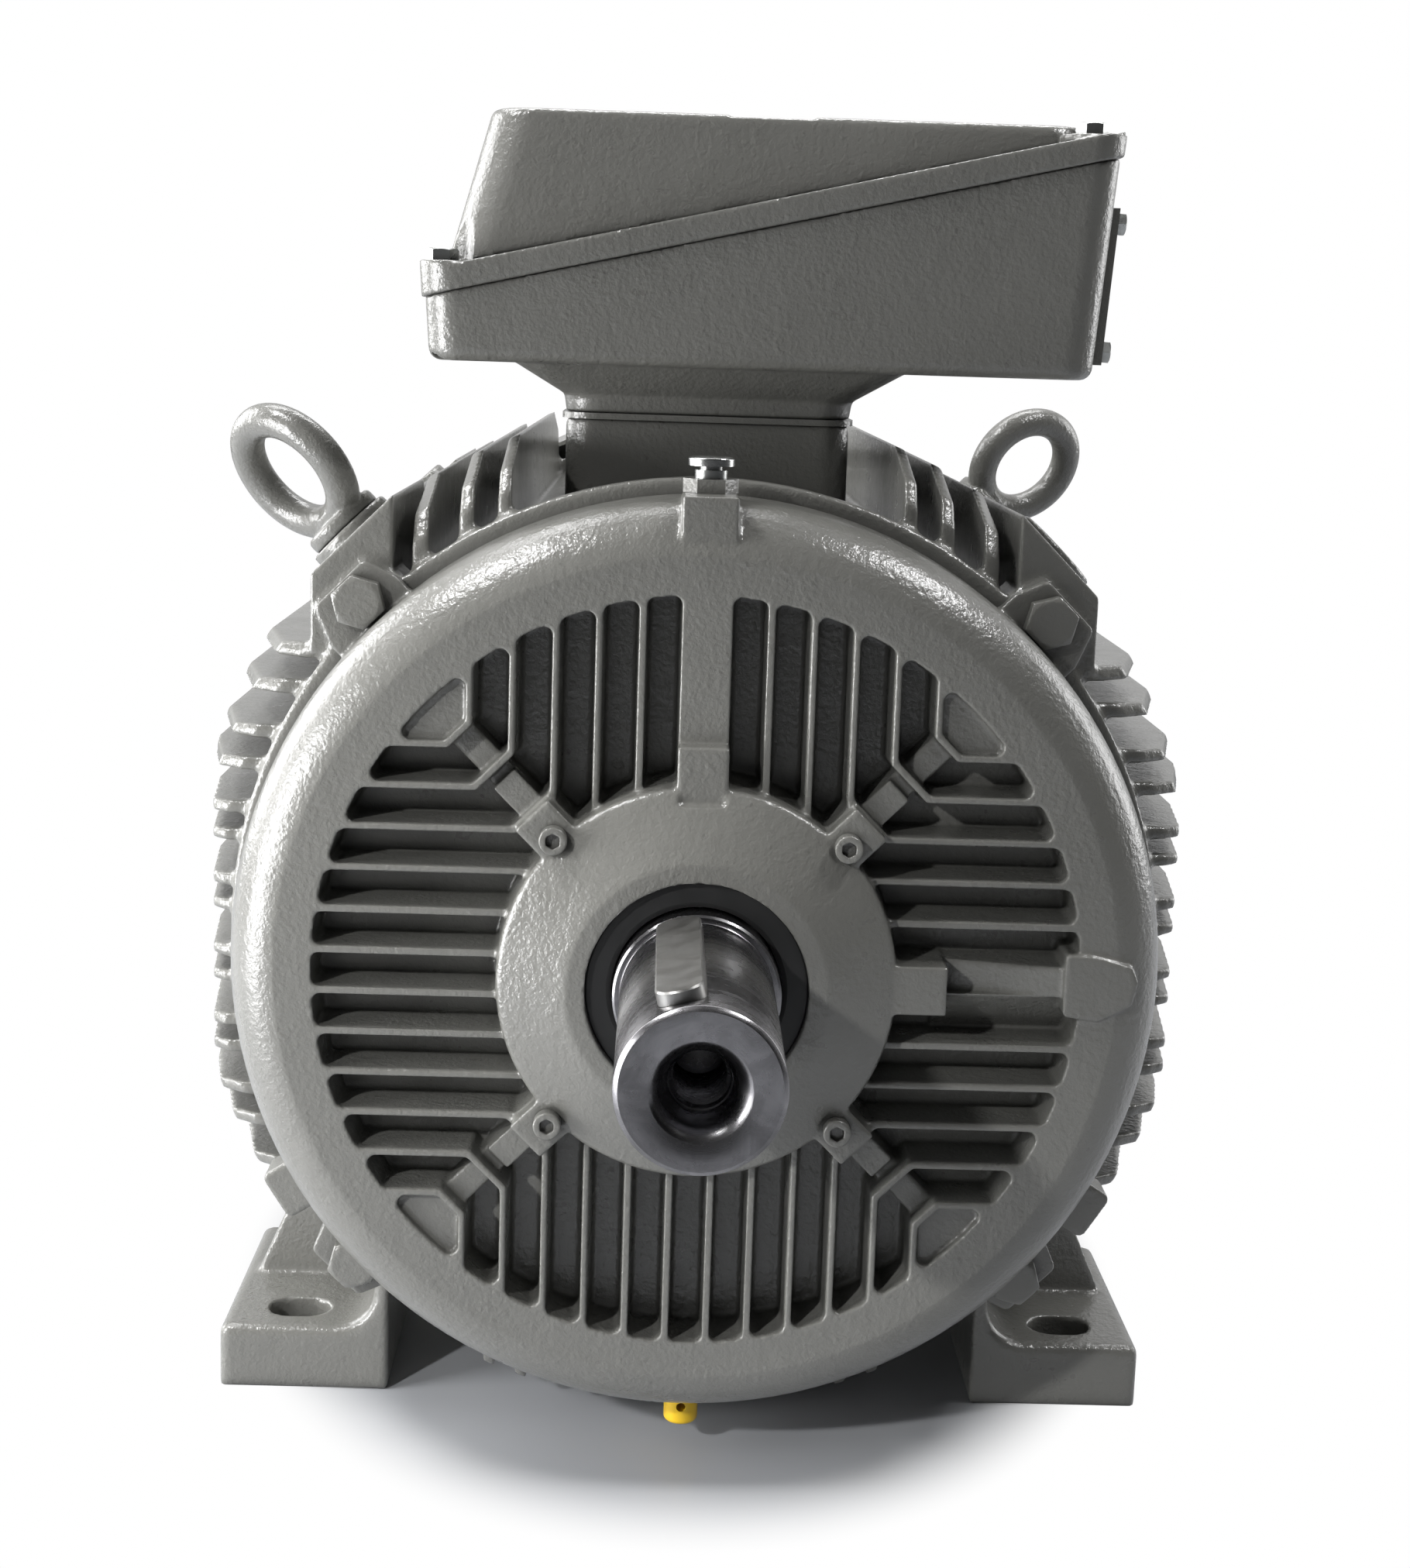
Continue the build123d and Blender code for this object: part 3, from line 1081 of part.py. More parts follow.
def make_terminal_nuts():
    """Six brass nuts that clamp the links."""
    pieces = []
    for x, y in STUDS:
        nut = Pos(x, y, STUD_NUT_Z + 3.2) * extrude(RegularPolygon(radius=5.77, side_count=6), amount=5)
        pieces.append(nut - Pos(x, y, STUD_NUT_Z) * Cylinder(3 + FIT, 40))
    return Compound(children=pieces)


def make_board_screws():
    """Two screws that hold the terminal board."""
    pieces = []
    for x, y in BOARD_SCREWS:
        pieces.append(Pos(x, y, BOX_Z + 26 + FIT) * socket_screw(5, 20))
    return Compound(children=pieces)


# ---------------------------------------------------------------- eyebolts, greasing and drains
def make_eyebolt(side, y, twist):
    """Lifting eyebolt M16 standing on a corner seat, its ring turned by twist."""
    ring_r, tube_r = 24.5, 7.0
    eye = Pos(0, 0, EYE_HEIGHT) * Rot(90, 0, 0) * Torus(ring_r, tube_r)
    collar = Pos(0, 0, 3) * Cylinder(16.5, 6)
    collar = fillet(collar.edges().group_by(Axis.Z)[-1], 2)
    neck_low = Pos(0, 0, 4) * Ellipse(15, 9.5)
    neck_high = Pos(0, 0, 10) * Ellipse(10, 7.2)
    shank = Pos(0, 0, -13.5) * Cylinder(8, 27)
    body = eye + collar + loft([neck_low, neck_high]) + shank
    return eyebolt_seat(side, y).location * Pos(0, 0, FIT) * Rot(0, 0, 90 + twist) * body


def make_grease_adapter():
    """Hexagonal adapter on the nipple block."""
    z = SHAFT_HEIGHT + NIPPLE_SEAT_R + FIT
    body = Pos(0, NIPPLE_Y, z) * extrude(RegularPolygon(radius=10, side_count=6), amount=5)
    return body + Pos(0, NIPPLE_Y, z - 7) * Cylinder(4, 14)


def make_grease_nipple():
    """Flat button-head grease nipple."""
    z = SHAFT_HEIGHT + NIPPLE_SEAT_R + 5 + 2 * FIT
    neck = Pos(0, NIPPLE_Y, z + 1.5) * Cylinder(6, 3)
    waist = Pos(0, NIPPLE_Y, z + 3.5) * Cylinder(4.2, 3)
    head = Pos(0, NIPPLE_Y, z + 6) * Cylinder(8.4, 3)
    head = fillet(head.edges().group_by(Axis.Z)[-1], 0.8)
    bore = Pos(0, NIPPLE_Y, z + 7) * Cylinder(1.5, 4)
    return neck + waist + head - bore


def make_drain_plug(y, head_length):
    """Push-in drain plug that hangs below the rim, with a cross hole halfway down its head."""
    seat_z = SHAFT_HEIGHT - RIM_R - FIT
    middle = Pos(0, y, seat_z - head_length / 2)
    head = middle * Cylinder(DRAIN_HEAD_R, head_length)
    head = fillet(head.edges().group_by(Axis.Z)[0], 2)
    stem = Pos(0, y, seat_z + 5) * Cylinder(DRAIN_STEM_R, 12)
    return head + stem - middle * Rot(90, 0, 0) * Cylinder(DRAIN_CROSS_HOLE_R, 30)


# ---------------------------------------------------------------- all nodes
def build_nodes():
    """Every sub-part by name."""
    front = bearing_parts(BEARING_FRONT_Y)
    rear = bearing_parts(BEARING_REAR_Y)
    nodes = {
        "stator_frame": make_stator_frame(),
        "drive_end_shield": make_drive_end_shield(),
        "rear_end_shield": make_rear_end_shield(),
        "shield_bolts_front": make_shield_bolts(-1),
        "shield_bolts_rear": make_shield_bolts(1),
        "stator_core": make_stator_core(),
        "stator_winding": make_stator_winding(),
        "bearing_cover_front": make_bearing_cover(-1),
        "bearing_cover_rear": make_bearing_cover(1),
        "bearing_cover_screws_front": make_bearing_cover_screws(-1),
        "bearing_cover_screws_rear": make_bearing_cover_screws(1),
        "bearing_preload_spring": make_wave_spring(),
        "shaft_seal_front": make_shaft_seal(HUB_TOP_Y + 4),
        "shaft_seal_rear": make_shaft_seal(BEARING_REAR_Y + BEARING_WIDTH + 1.05),
        "fan_cover": make_fan_cover(),
        "fan_cover_screws": make_fan_cover_screws(),
        "terminal_box_base": make_terminal_box_base(),
        "terminal_box_cover": make_terminal_box_cover(),
        "cover_gasket": make_cover_gasket(),
        "cover_bolts": make_cover_bolts(),
        "neck_gasket": make_neck_gasket(),
        "box_mounting_screws": make_box_mounting_screws(),
        "gland_plate": make_gland_plate(),
        "gland_gasket": make_gland_gasket(),
        "gland_plate_bolts": make_gland_plate_bolts(),
        "cable_entry_plugs": make_cable_entry_plugs(),
        "terminal_board": make_terminal_board(),
        "terminal_board_screws": make_board_screws(),
        "terminal_studs": make_terminal_studs(),
        "terminal_links": make_terminal_links(),
        "terminal_nuts": make_terminal_nuts(),
        "eyebolt_left": make_eyebolt(-1, EYEBOLT_Y[0], -48.5),
        "eyebolt_right": make_eyebolt(1, EYEBOLT_Y[1], 35.0),
        "grease_adapter": make_grease_adapter(),
        "grease_nipple": make_grease_nipple(),
        "drain_plug_front": make_drain_plug(DRAIN_Y[0], DRAIN_HEAD_LENGTHS[0]),
        "drain_plug_rear": make_drain_plug(DRAIN_Y[1], DRAIN_HEAD_LENGTHS[1]),
        "shaft": make_shaft(),
        "shaft_key": make_shaft_key(),
        "rotor_core": make_rotor_core(),
        "rotor_cage": make_rotor_cage(),
        "cooling_fan": make_cooling_fan(),
        "fan_key": make_fan_key(),
        "fan_circlip": make_fan_circlip(),
    }
    for end, parts in (("front", front), ("rear", rear)):
        for name, part in zip(("inner_ring", "outer_ring", "balls", "cage"), parts):
            nodes[f"bearing_{name}_{end}"] = part
    return nodes


os.makedirs("parts", exist_ok=True)
for name, part in build_nodes().items():
    export_step(part, f"parts/{name}.step")
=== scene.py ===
"""Looks of a foot-mounted induction motor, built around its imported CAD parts. Metres, +Z up."""

import bpy
import bmesh
import json
import math
from mathutils import Matrix, Vector


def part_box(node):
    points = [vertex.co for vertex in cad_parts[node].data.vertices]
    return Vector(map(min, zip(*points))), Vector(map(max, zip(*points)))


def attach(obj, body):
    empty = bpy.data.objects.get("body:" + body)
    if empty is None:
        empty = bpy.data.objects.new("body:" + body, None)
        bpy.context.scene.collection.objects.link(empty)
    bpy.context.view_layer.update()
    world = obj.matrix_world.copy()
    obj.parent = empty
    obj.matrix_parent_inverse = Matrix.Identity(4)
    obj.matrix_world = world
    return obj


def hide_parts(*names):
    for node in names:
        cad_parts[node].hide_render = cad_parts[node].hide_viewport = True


MM = 0.001
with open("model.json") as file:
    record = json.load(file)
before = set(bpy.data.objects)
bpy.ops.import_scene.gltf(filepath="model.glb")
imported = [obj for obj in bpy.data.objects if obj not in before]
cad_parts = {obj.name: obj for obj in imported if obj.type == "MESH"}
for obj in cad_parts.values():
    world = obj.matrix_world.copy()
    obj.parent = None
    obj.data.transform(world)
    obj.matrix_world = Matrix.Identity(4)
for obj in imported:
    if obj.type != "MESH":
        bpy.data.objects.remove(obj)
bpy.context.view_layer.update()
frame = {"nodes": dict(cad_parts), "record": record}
nodes = frame["nodes"]
record = frame["record"]
body_of_node = {
    node: body for body, members in record["behaviour"]["bodies"].items() for node in members}
slot_of_node = {part["node"]: part["material_slot"] for part in record["subparts"]}

AXIS_Z = next(m["pos_m"][2] for m in record["mounts"] if m["name"] == "shaft_end")
SCENE = bpy.context.scene

# shaft end and its M20 centre thread
SHAFT_R = 27.5 * MM
SHAFT_END_LENGTH = 110 * MM
KEYWAY_LENGTH, KEYWAY_WIDTH, KEYWAY_DEPTH = 100.5 * MM, 16 * MM, 6 * MM
KEY_TURN = math.radians(-14.0)
THREAD_MAJOR = 10.0 * MM
THREAD_MINOR = 8.75 * MM
THREAD_PITCH = 2.5 * MM

# block under the grease nipple, flush with the face of the drive-end shield
NIPPLE_BLOCK = ((-10 * MM, -258.5 * MM, 345 * MM), (10 * MM, -232 * MM, 374.6 * MM))

# castings to soften: node, voxel size in mm, smoothing steps
CASTINGS = (
    ("stator_frame", 1.3, 4), ("drive_end_shield", 0.8, 4), ("rear_end_shield", 1.6, 4),
    ("terminal_box_base", 0.9, 4), ("terminal_box_cover", 0.9, 4),
    ("eyebolt_left", 0.8, 6), ("eyebolt_right", 0.8, 6))
PAINTED_FASTENERS = ("shield_bolts_front", "shield_bolts_rear", "bearing_cover_screws_front")


# ---------------------------------------------------------------- material helpers
class Graph:
    """Node tree of one material, with short ways to add and join nodes."""

    def __init__(self, name):
        self.material = bpy.data.materials.new(name)
        self.material.use_nodes = True
        self.tree = self.material.node_tree
        self.tree.nodes.clear()
        self.output = self.tree.nodes.new("ShaderNodeOutputMaterial")
        self.coords = self.add("ShaderNodeTexCoord").outputs["Object"]

    def add(self, kind, inputs=None, **settings):
        """Add a node; inputs maps socket names or numbers to values or to other sockets."""
        node = self.tree.nodes.new(kind)
        for key, value in settings.items():
            setattr(node, key, value)
        for key, value in (inputs or {}).items():
            socket = node.inputs[key]
            if isinstance(value, bpy.types.NodeSocket):
                self.tree.links.new(value, socket)
            else:
                socket.default_value = value
        return node

    def math(self, operation, a, b=0.0, clamp=False):
        """Result of one scalar operation."""
        node = self.add("ShaderNodeMath", {0: a, 1: b}, operation=operation, use_clamp=clamp)
        return node.outputs[0]

    def noise(self, scale, detail=2.0, roughness=0.5, vector=None, distortion=0.0):
        """Grey noise; scale is in cycles per metre."""
        node = self.add("ShaderNodeTexNoise", {
            "Vector": vector or self.coords, "Scale": scale, "Detail": detail,
            "Roughness": roughness, "Distortion": distortion})
        return node.outputs["Fac"]

    def spread(self, value, low, high, new_low=0.0, new_high=1.0):
        """Map a range of one value to another range."""
        node = self.add("ShaderNodeMapRange", {
            "Value": value, "From Min": low, "From Max": high, "To Min": new_low, "To Max": new_high})
        return node.outputs["Result"]

    def blend(self, factor, a, b):
        """Mix two colours."""
        node = self.add("ShaderNodeMix", data_type="RGBA")
        for key, value in (("Factor", factor), ("A", a), ("B", b)):
            socket = next(s for s in node.inputs if s.name == key and (
                s.type == "RGBA" or key == "Factor" and s.type == "VALUE"))
            if isinstance(value, bpy.types.NodeSocket):
                self.tree.links.new(value, socket)
            else:
                socket.default_value = value
        return next(s for s in node.outputs if s.type == "RGBA")

    def bump(self, height, strength, distance, under=None):
        """Normal after a bump; under is the normal of an earlier bump."""
        inputs = {"Height": height, "Strength": strength, "Distance": distance}
        if under is not None:
            inputs["Normal"] = under
        return self.add("ShaderNodeBump", inputs).outputs["Normal"]

    def crevice(self, distance):
        """Ambient occlusion: 1 on open surfaces, falling towards 0 in corners closer than distance; used
        to paint shade into corners.
        """
        node = self.add("ShaderNodeAmbientOcclusion", {"Distance": distance}, samples=6)
        return node.outputs["AO"]

    def finish(self, **inputs):
        """Add the surface shader and return the material."""
        shader = self.add("ShaderNodeBsdfPrincipled")
        for key, value in inputs.items():
            socket = shader.inputs[key.replace("_", " ")]
            if isinstance(value, bpy.types.NodeSocket):
                self.tree.links.new(value, socket)
            else:
                socket.default_value = value
        self.tree.links.new(shader.outputs[0], self.output.inputs["Surface"])
        return self.material


def shade(colour, factor):
    """Colour made lighter or darker, with alpha."""
    return tuple(min(c * factor, 1.0) for c in colour[:3]) + (1.0,)


def painted(name, colour, grain=1.0, gloss=0.30):
    """Thick semi-gloss enamel over a sand-cast surface."""
    g = Graph(name)
    cloud = g.noise(22, 3.0)
    patch = g.noise(140, 2.0)
    tone = g.blend(g.spread(cloud, 0.3, 0.7), shade(colour, 0.97), shade(colour, 1.03))
    # painted shade: the paint colour falls to half in corners and recesses within 8 mm, where shade falls
    corner_shaded = g.blend(g.spread(g.crevice(8 * MM), 0.2, 0.9), shade(colour, 0.5), tone)
    roughness = g.spread(g.math("ADD", cloud, patch), 0.7, 1.3, gloss - 0.04, gloss + 0.06)
    wavy = g.bump(g.noise(95, 2.0), 0.35 * grain, 1.0 * MM)
    cast = g.bump(g.noise(480, 3.0, 0.6), 0.85 * grain, 0.45 * MM, wavy)
    lumps = g.spread(g.noise(260, 1.0), 0.60, 0.76)
    pimpled = g.bump(lumps, 0.35 * grain, 0.25 * MM, cast)
    fine = g.bump(g.noise(1700, 2.0), 0.25, 0.06 * MM, pimpled)
    return g.finish(
        Base_Color=corner_shaded, Roughness=roughness, Normal=fine, Coat_Normal=pimpled, Coat_Weight=0.7,
        Coat_Roughness=0.09, Specular_IOR_Level=0.5)


def machined(name, colour, roughness=0.24, depth=1.0):
    """Steel turned on a lathe: fine rings round the shaft with light scratches and stains."""
    g = Graph(name)
    split = g.add("ShaderNodeSeparateXYZ", {0: g.coords})
    x, y = split.outputs[0], split.outputs[1]
    z = g.math("SUBTRACT", split.outputs[2], AXIS_Z)
    radius = g.math("SQRT", g.math("ADD", g.math("MULTIPLY", x, x), g.math("MULTIPLY", z, z)))
    facing = g.add("ShaderNodeSeparateXYZ", {0: g.add("ShaderNodeNewGeometry").outputs["Normal"]})
    on_end = g.spread(g.math("ABSOLUTE", facing.outputs[1]), 0.5, 0.8)
    travel = g.add("ShaderNodeMix", {"Factor": on_end, "A": y, "B": radius}).outputs["Result"]
    rings = g.add("ShaderNodeCombineXYZ", {0: travel, 1: g.math("MULTIPLY", z, 0.02), 2: 0.0}).outputs[0]
    feed = g.noise(2600, 2.0, 0.6, rings)
    bands = g.noise(220, 3.0, 0.6, rings)
    stretched = g.add("ShaderNodeMapping", {"Vector": g.coords, "Scale": (30.0, 900.0, 60.0)})
    scratches = g.spread(g.noise(1.0, 3.0, 0.7, stretched.outputs[0]), 0.62, 0.75)
    stain = g.noise(60, 4.0, 0.6, None, 1.5)
    tone = g.blend(g.spread(stain, 0.35, 0.75), shade(colour, 1.1), shade(colour, 0.6))
    tone = g.blend(g.math("MULTIPLY", scratches, 0.35), tone, shade(colour, 0.5))
    gloss = g.spread(g.math("ADD", bands, stain), 0.7, 1.35, roughness - 0.07, roughness + 0.14)
    turned = g.bump(feed, 0.25 * depth, 0.05 * MM)
    turned = g.bump(bands, 0.25 * depth, 0.08 * MM, turned)
    turned = g.bump(scratches, 0.2, 0.05 * MM, turned)
    return g.finish(Base_Color=tone, Metallic=1.0, Roughness=gloss, Normal=turned, Anisotropic=0.4)


def plain_metal(name, colour, roughness=0.3, grain=900, strength=0.25):
    """Plated, drawn or cast metal with a fine even grain."""
    g = Graph(name)
    cloud = g.noise(120, 3.0)
    tone = g.blend(g.spread(cloud, 0.3, 0.75), shade(colour, 1.06), shade(colour, 0.78))
    # painted shade: the metal colour falls to 0.4 in corners within 2.5 mm, where shade falls
    tone = g.blend(g.spread(g.crevice(2.5 * MM), 0.2, 0.9), shade(colour, 0.4), tone)
    gloss = g.spread(cloud, 0.3, 0.7, roughness - 0.06, roughness + 0.1)
    surface = g.bump(g.noise(grain, 3.0, 0.6), strength, 0.08 * MM)
    return g.finish(Base_Color=tone, Metallic=1.0, Roughness=gloss, Normal=surface)


def moulded(name, colour, roughness, grain=500, strength=0.2, sheen=0.0):
    """Plastic or rubber with a fine mould grain and painted shade in the corners."""
    g = Graph(name)
    cloud = g.noise(90, 2.0)
    tone = g.blend(g.spread(cloud, 0.3, 0.7), shade(colour, 0.88), shade(colour, 1.1))
    # painted shade: the colour falls to 0.55 in corners within 3 mm, where shade falls
    tone = g.blend(g.spread(g.crevice(3 * MM), 0.3, 0.9), shade(colour, 0.55), tone)
    gloss = g.spread(cloud, 0.3, 0.7, roughness - 0.05, roughness + 0.08)
    surface = g.bump(g.noise(grain, 3.0, 0.6), strength, 0.12 * MM)
    return g.finish(Base_Color=tone, Roughness=gloss, Normal=surface, Sheen_Weight=sheen)


def laminated(name, colour):
    """Edges of stacked electrical sheet."""
    g = Graph(name)
    split = g.add("ShaderNodeSeparateXYZ", {0: g.coords})
    sheets = g.add("ShaderNodeCombineXYZ", {0: split.outputs[1]}).outputs[0]
    edge = g.noise(2000, 1.0, 0.5, sheets)
    tone = g.blend(g.spread(edge, 0.35, 0.65), shade(colour, 0.6), shade(colour, 1.15))
    tone = g.blend(g.spread(g.noise(35, 3.0), 0.45, 0.75), tone, (0.12, 0.07, 0.04, 1.0))
    surface = g.bump(edge, 0.5, 0.2 * MM)
    gloss = g.spread(edge, 0.3, 0.7, 0.35, 0.55)
    return g.finish(Base_Color=tone, Metallic=0.8, Roughness=gloss, Normal=surface)


def wound(name, colour):
    """Varnished winding wire."""
    g = Graph(name)
    wave = g.add("ShaderNodeTexWave", {
        "Vector": g.coords, "Scale": 190.0, "Distortion": 2.0, "Detail": 2.0, "Detail Scale": 4.0},
        bands_direction="Y")
    tone = g.blend(wave.outputs["Fac"], shade(colour, 0.55), shade(colour, 1.15))
    surface = g.bump(wave.outputs["Fac"], 0.6, 0.5 * MM)
    gloss = g.spread(g.noise(200), 0.3, 0.7, 0.28, 0.45)
    return g.finish(Base_Color=tone, Metallic=0.7, Roughness=gloss, Normal=surface)


GREY = (0.155, 0.154, 0.142)
materials = {
    "paint": painted("paint", GREY),
    "bare_steel": machined("bare_steel", (0.28, 0.275, 0.285)),
    "key_steel": plain_metal("key_steel", (0.36, 0.355, 0.345), 0.36, 700),
    "zinc_steel": plain_metal("zinc_steel", (0.50, 0.51, 0.50), 0.26),
    "lamination": laminated("lamination", (0.34, 0.34, 0.35)),
    "copper": wound("copper", (0.52, 0.22, 0.09)),
    "aluminium": plain_metal("aluminium", (0.70, 0.70, 0.70), 0.42, 400, 0.4),
    "cast_iron": plain_metal("cast_iron", (0.16, 0.155, 0.15), 0.55, 350, 0.6),
    "brass": plain_metal("brass", (0.72, 0.52, 0.22), 0.28),
    "rubber": moulded("rubber", (0.018, 0.018, 0.018), 0.5, 700, 0.25, 0.1),
    "yellow_plastic": moulded("yellow_plastic", (0.78, 0.50, 0.02), 0.33),
    "black_plastic": moulded("black_plastic", (0.030, 0.030, 0.031), 0.42),
}


def dress(piece, slot):
    """Give a piece the material of a record slot."""
    piece.data.materials.clear()
    piece.data.materials.append(materials[slot])


# ---------------------------------------------------------------- piece helpers
def new_piece(name, mesh, body, slot, replaces=()):
    """Link a finished mesh as a piece that rides on a CAD body."""
    piece = bpy.data.objects.new(name, mesh)
    SCENE.collection.objects.link(piece)
    dress(piece, slot)
    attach(piece, body)
    if replaces:
        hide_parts(*replaces)
    return piece


def spun(profile, segments):
    """Closed mesh turned round the shaft; profile is a list of (y, radius), ends on the axis."""
    build = bmesh.new()
    loops = []
    for y, radius in profile:
        if radius == 0:
            loops.append([build.verts.new((0, y, AXIS_Z))])
            continue
        loop = []
        for step in range(segments):
            angle = 2 * math.pi * step / segments
            loop.append(build.verts.new((radius * math.sin(angle), y, AXIS_Z + radius * math.cos(angle))))
        loops.append(loop)
    for near, far in zip(loops, loops[1:]):
        for step in range(segments):
            after = (step + 1) % segments
            corners = [near[step % len(near)], near[after % len(near)]]
            corners += [far[after % len(far)], far[step % len(far)]]
            build.faces.new(list(dict.fromkeys(corners)))
    bmesh.ops.recalc_face_normals(build, faces=build.faces)
    mesh = bpy.data.meshes.new("turned")
    build.to_mesh(mesh)
    build.free()
    return mesh


def carved(mesh, cutter):
    """Mesh with the volume of a cutter mesh taken away."""
    piece = bpy.data.objects.new("blank", mesh)
    tool = bpy.data.objects.new("cutter", cutter)
    for item in (piece, tool):
        SCENE.collection.objects.link(item)
    cut = piece.modifiers.new("cut", "BOOLEAN")
    cut.operation = "DIFFERENCE"
    cut.solver = "EXACT"
    cut.object = tool
    result = applied(piece)
    for item in (piece, tool):
        bpy.data.objects.remove(item)
    return result


def applied(piece):
    """Mesh of a piece with its modifiers applied."""
    depsgraph = bpy.context.evaluated_depsgraph_get()
    return bpy.data.meshes.new_from_object(piece.evaluated_get(depsgraph))


def add_block(mesh, low, high):
    """Join a block between two corners to a mesh; a later remesh merges the two."""
    build = bmesh.new()
    build.from_mesh(mesh)
    size = Vector(high) - Vector(low)
    middle = (Vector(high) + Vector(low)) / 2
    place = Matrix.Translation(middle) @ Matrix.Diagonal((*size, 1.0))
    bmesh.ops.create_cube(build, size=1.0, matrix=place)
    build.to_mesh(mesh)
    build.free()


def softened(node, voxel, steps, blocks=()):
    """Mesh of a CAD node, with blocks added, and every edge and corner rounded like a casting."""
    piece = bpy.data.objects.new("soft", nodes[node].data.copy())
    for low, high in blocks:
        add_block(piece.data, low, high)
    SCENE.collection.objects.link(piece)
    remesh = piece.modifiers.new("remesh", "REMESH")
    remesh.mode = "VOXEL"
    remesh.voxel_size = voxel * 1.0
    smooth = piece.modifiers.new("smooth", "SMOOTH")
    smooth.factor = 0.5
    smooth.iterations = steps
    mesh = applied(piece)
    bpy.data.objects.remove(piece)
    mesh.shade_smooth()
    return mesh


def soft_piece(node, voxel, steps, suffix="cast", blocks=()):
    """Replace a CAD node by its softened mesh."""
    mesh = softened(node, voxel, steps, blocks)
    return new_piece(f"{node}_{suffix}", mesh, body_of_node[node], slot_of_node[node], [node])


# ---------------------------------------------------------------- camera and studio
CAMERA_PLACE = Vector((-16.7, -1122.4, 429.0)) * MM
CAMERA_YAW = math.radians(1.17)
CAMERA_PITCH = math.radians(10.29)
CAMERA_ROLL = math.radians(1.86)
FRONT_LEFT = 0.13
FRONT_RIGHT = 0.01
BEHIND = 0.6


def add_camera():
    """Camera a little above the shaft, looking along it from the drive end."""
    data = bpy.data.cameras.new("camera")
    data.lens = 56.17
    data.sensor_width = 36.0
    data.clip_start, data.clip_end = 0.05, 60.0
    ahead = Vector((
        math.sin(CAMERA_YAW) * math.cos(CAMERA_PITCH), math.cos(CAMERA_YAW) * math.cos(CAMERA_PITCH),
        -math.sin(CAMERA_PITCH)))
    right = Vector((math.cos(CAMERA_YAW), -math.sin(CAMERA_YAW), 0.0))
    up = right.cross(ahead)
    turned_right = math.cos(CAMERA_ROLL) * right + math.sin(CAMERA_ROLL) * up
    turned_up = math.cos(CAMERA_ROLL) * up - math.sin(CAMERA_ROLL) * right
    camera = bpy.data.objects.new("camera", data)
    axes = Matrix((turned_right, turned_up, -ahead)).transposed()
    camera.matrix_world = Matrix.Translation(CAMERA_PLACE) @ axes.to_4x4()
    SCENE.collection.objects.link(camera)
    SCENE.camera = camera


def add_light(name, place, target, width, height, watts, mirrored=True):
    """Soft box that faces a target; mirrored says whether glossy surfaces reflect it."""
    data = bpy.data.lights.new(name, "AREA")
    data.shape = "RECTANGLE"
    data.size, data.size_y = width, height
    data.energy = watts
    light = bpy.data.objects.new(name, data)
    light.location = place
    light.rotation_euler = (Vector(target) - Vector(place)).to_track_quat("-Z", "Y").to_euler()
    light.visible_glossy = mirrored
    SCENE.collection.objects.link(light)


def add_key(place, target, watts, radius, cone):
    """Key light with a soft-edged beam that mirrors in nothing."""
    data = bpy.data.lights.new("key", "SPOT")
    data.energy = watts
    data.shadow_soft_size = radius
    data.spot_size = math.radians(cone)
    data.spot_blend = 1.0
    light = bpy.data.objects.new("key", data)
    light.location = place
    light.rotation_euler = (Vector(target) - Vector(place)).to_track_quat("-Z", "Y").to_euler()
    light.visible_glossy = False
    SCENE.collection.objects.link(light)


def add_world():
    """White studio: bright behind, dim in front and dimmest on the right; plain white to the eye."""
    world = bpy.data.worlds.new("studio")
    SCENE.world = world
    world.use_nodes = True
    tree = world.node_tree
    tree.nodes.clear()

    def node(kind, inputs=None, **settings):
        made = tree.nodes.new(kind)
        for key, value in settings.items():
            setattr(made, key, value)
        for key, value in (inputs or {}).items():
            if isinstance(value, bpy.types.NodeSocket):
                tree.links.new(value, made.inputs[key])
            else:
                made.inputs[key].default_value = value
        return made

    direction = node("ShaderNodeSeparateXYZ", {0: node("ShaderNodeTexCoord").outputs["Generated"]}).outputs
    sideways = node("ShaderNodeMapRange", {
        "Value": direction[0], "From Min": -0.9, "From Max": 0.7,
        "To Min": FRONT_LEFT, "To Max": FRONT_RIGHT})
    backwards = node("ShaderNodeMapRange", {
        "Value": direction[1], "From Min": -0.25, "From Max": 0.45}, interpolation_type="SMOOTHSTEP")
    strength = node("ShaderNodeMix", {
        "Factor": backwards.outputs[0], "A": sideways.outputs[0], "B": BEHIND})
    white = (1.0, 1.0, 1.0, 1.0)
    light = node("ShaderNodeBackground", {"Color": white, "Strength": strength.outputs["Result"]})
    backdrop = node("ShaderNodeBackground", {"Color": white, "Strength": 1.0})
    seen = node("ShaderNodeLightPath").outputs["Is Camera Ray"]
    mixed = node("ShaderNodeMixShader", {0: seen, 1: light.outputs[0], 2: backdrop.outputs[0]})
    node("ShaderNodeOutputWorld", {"Surface": mixed.outputs[0]})


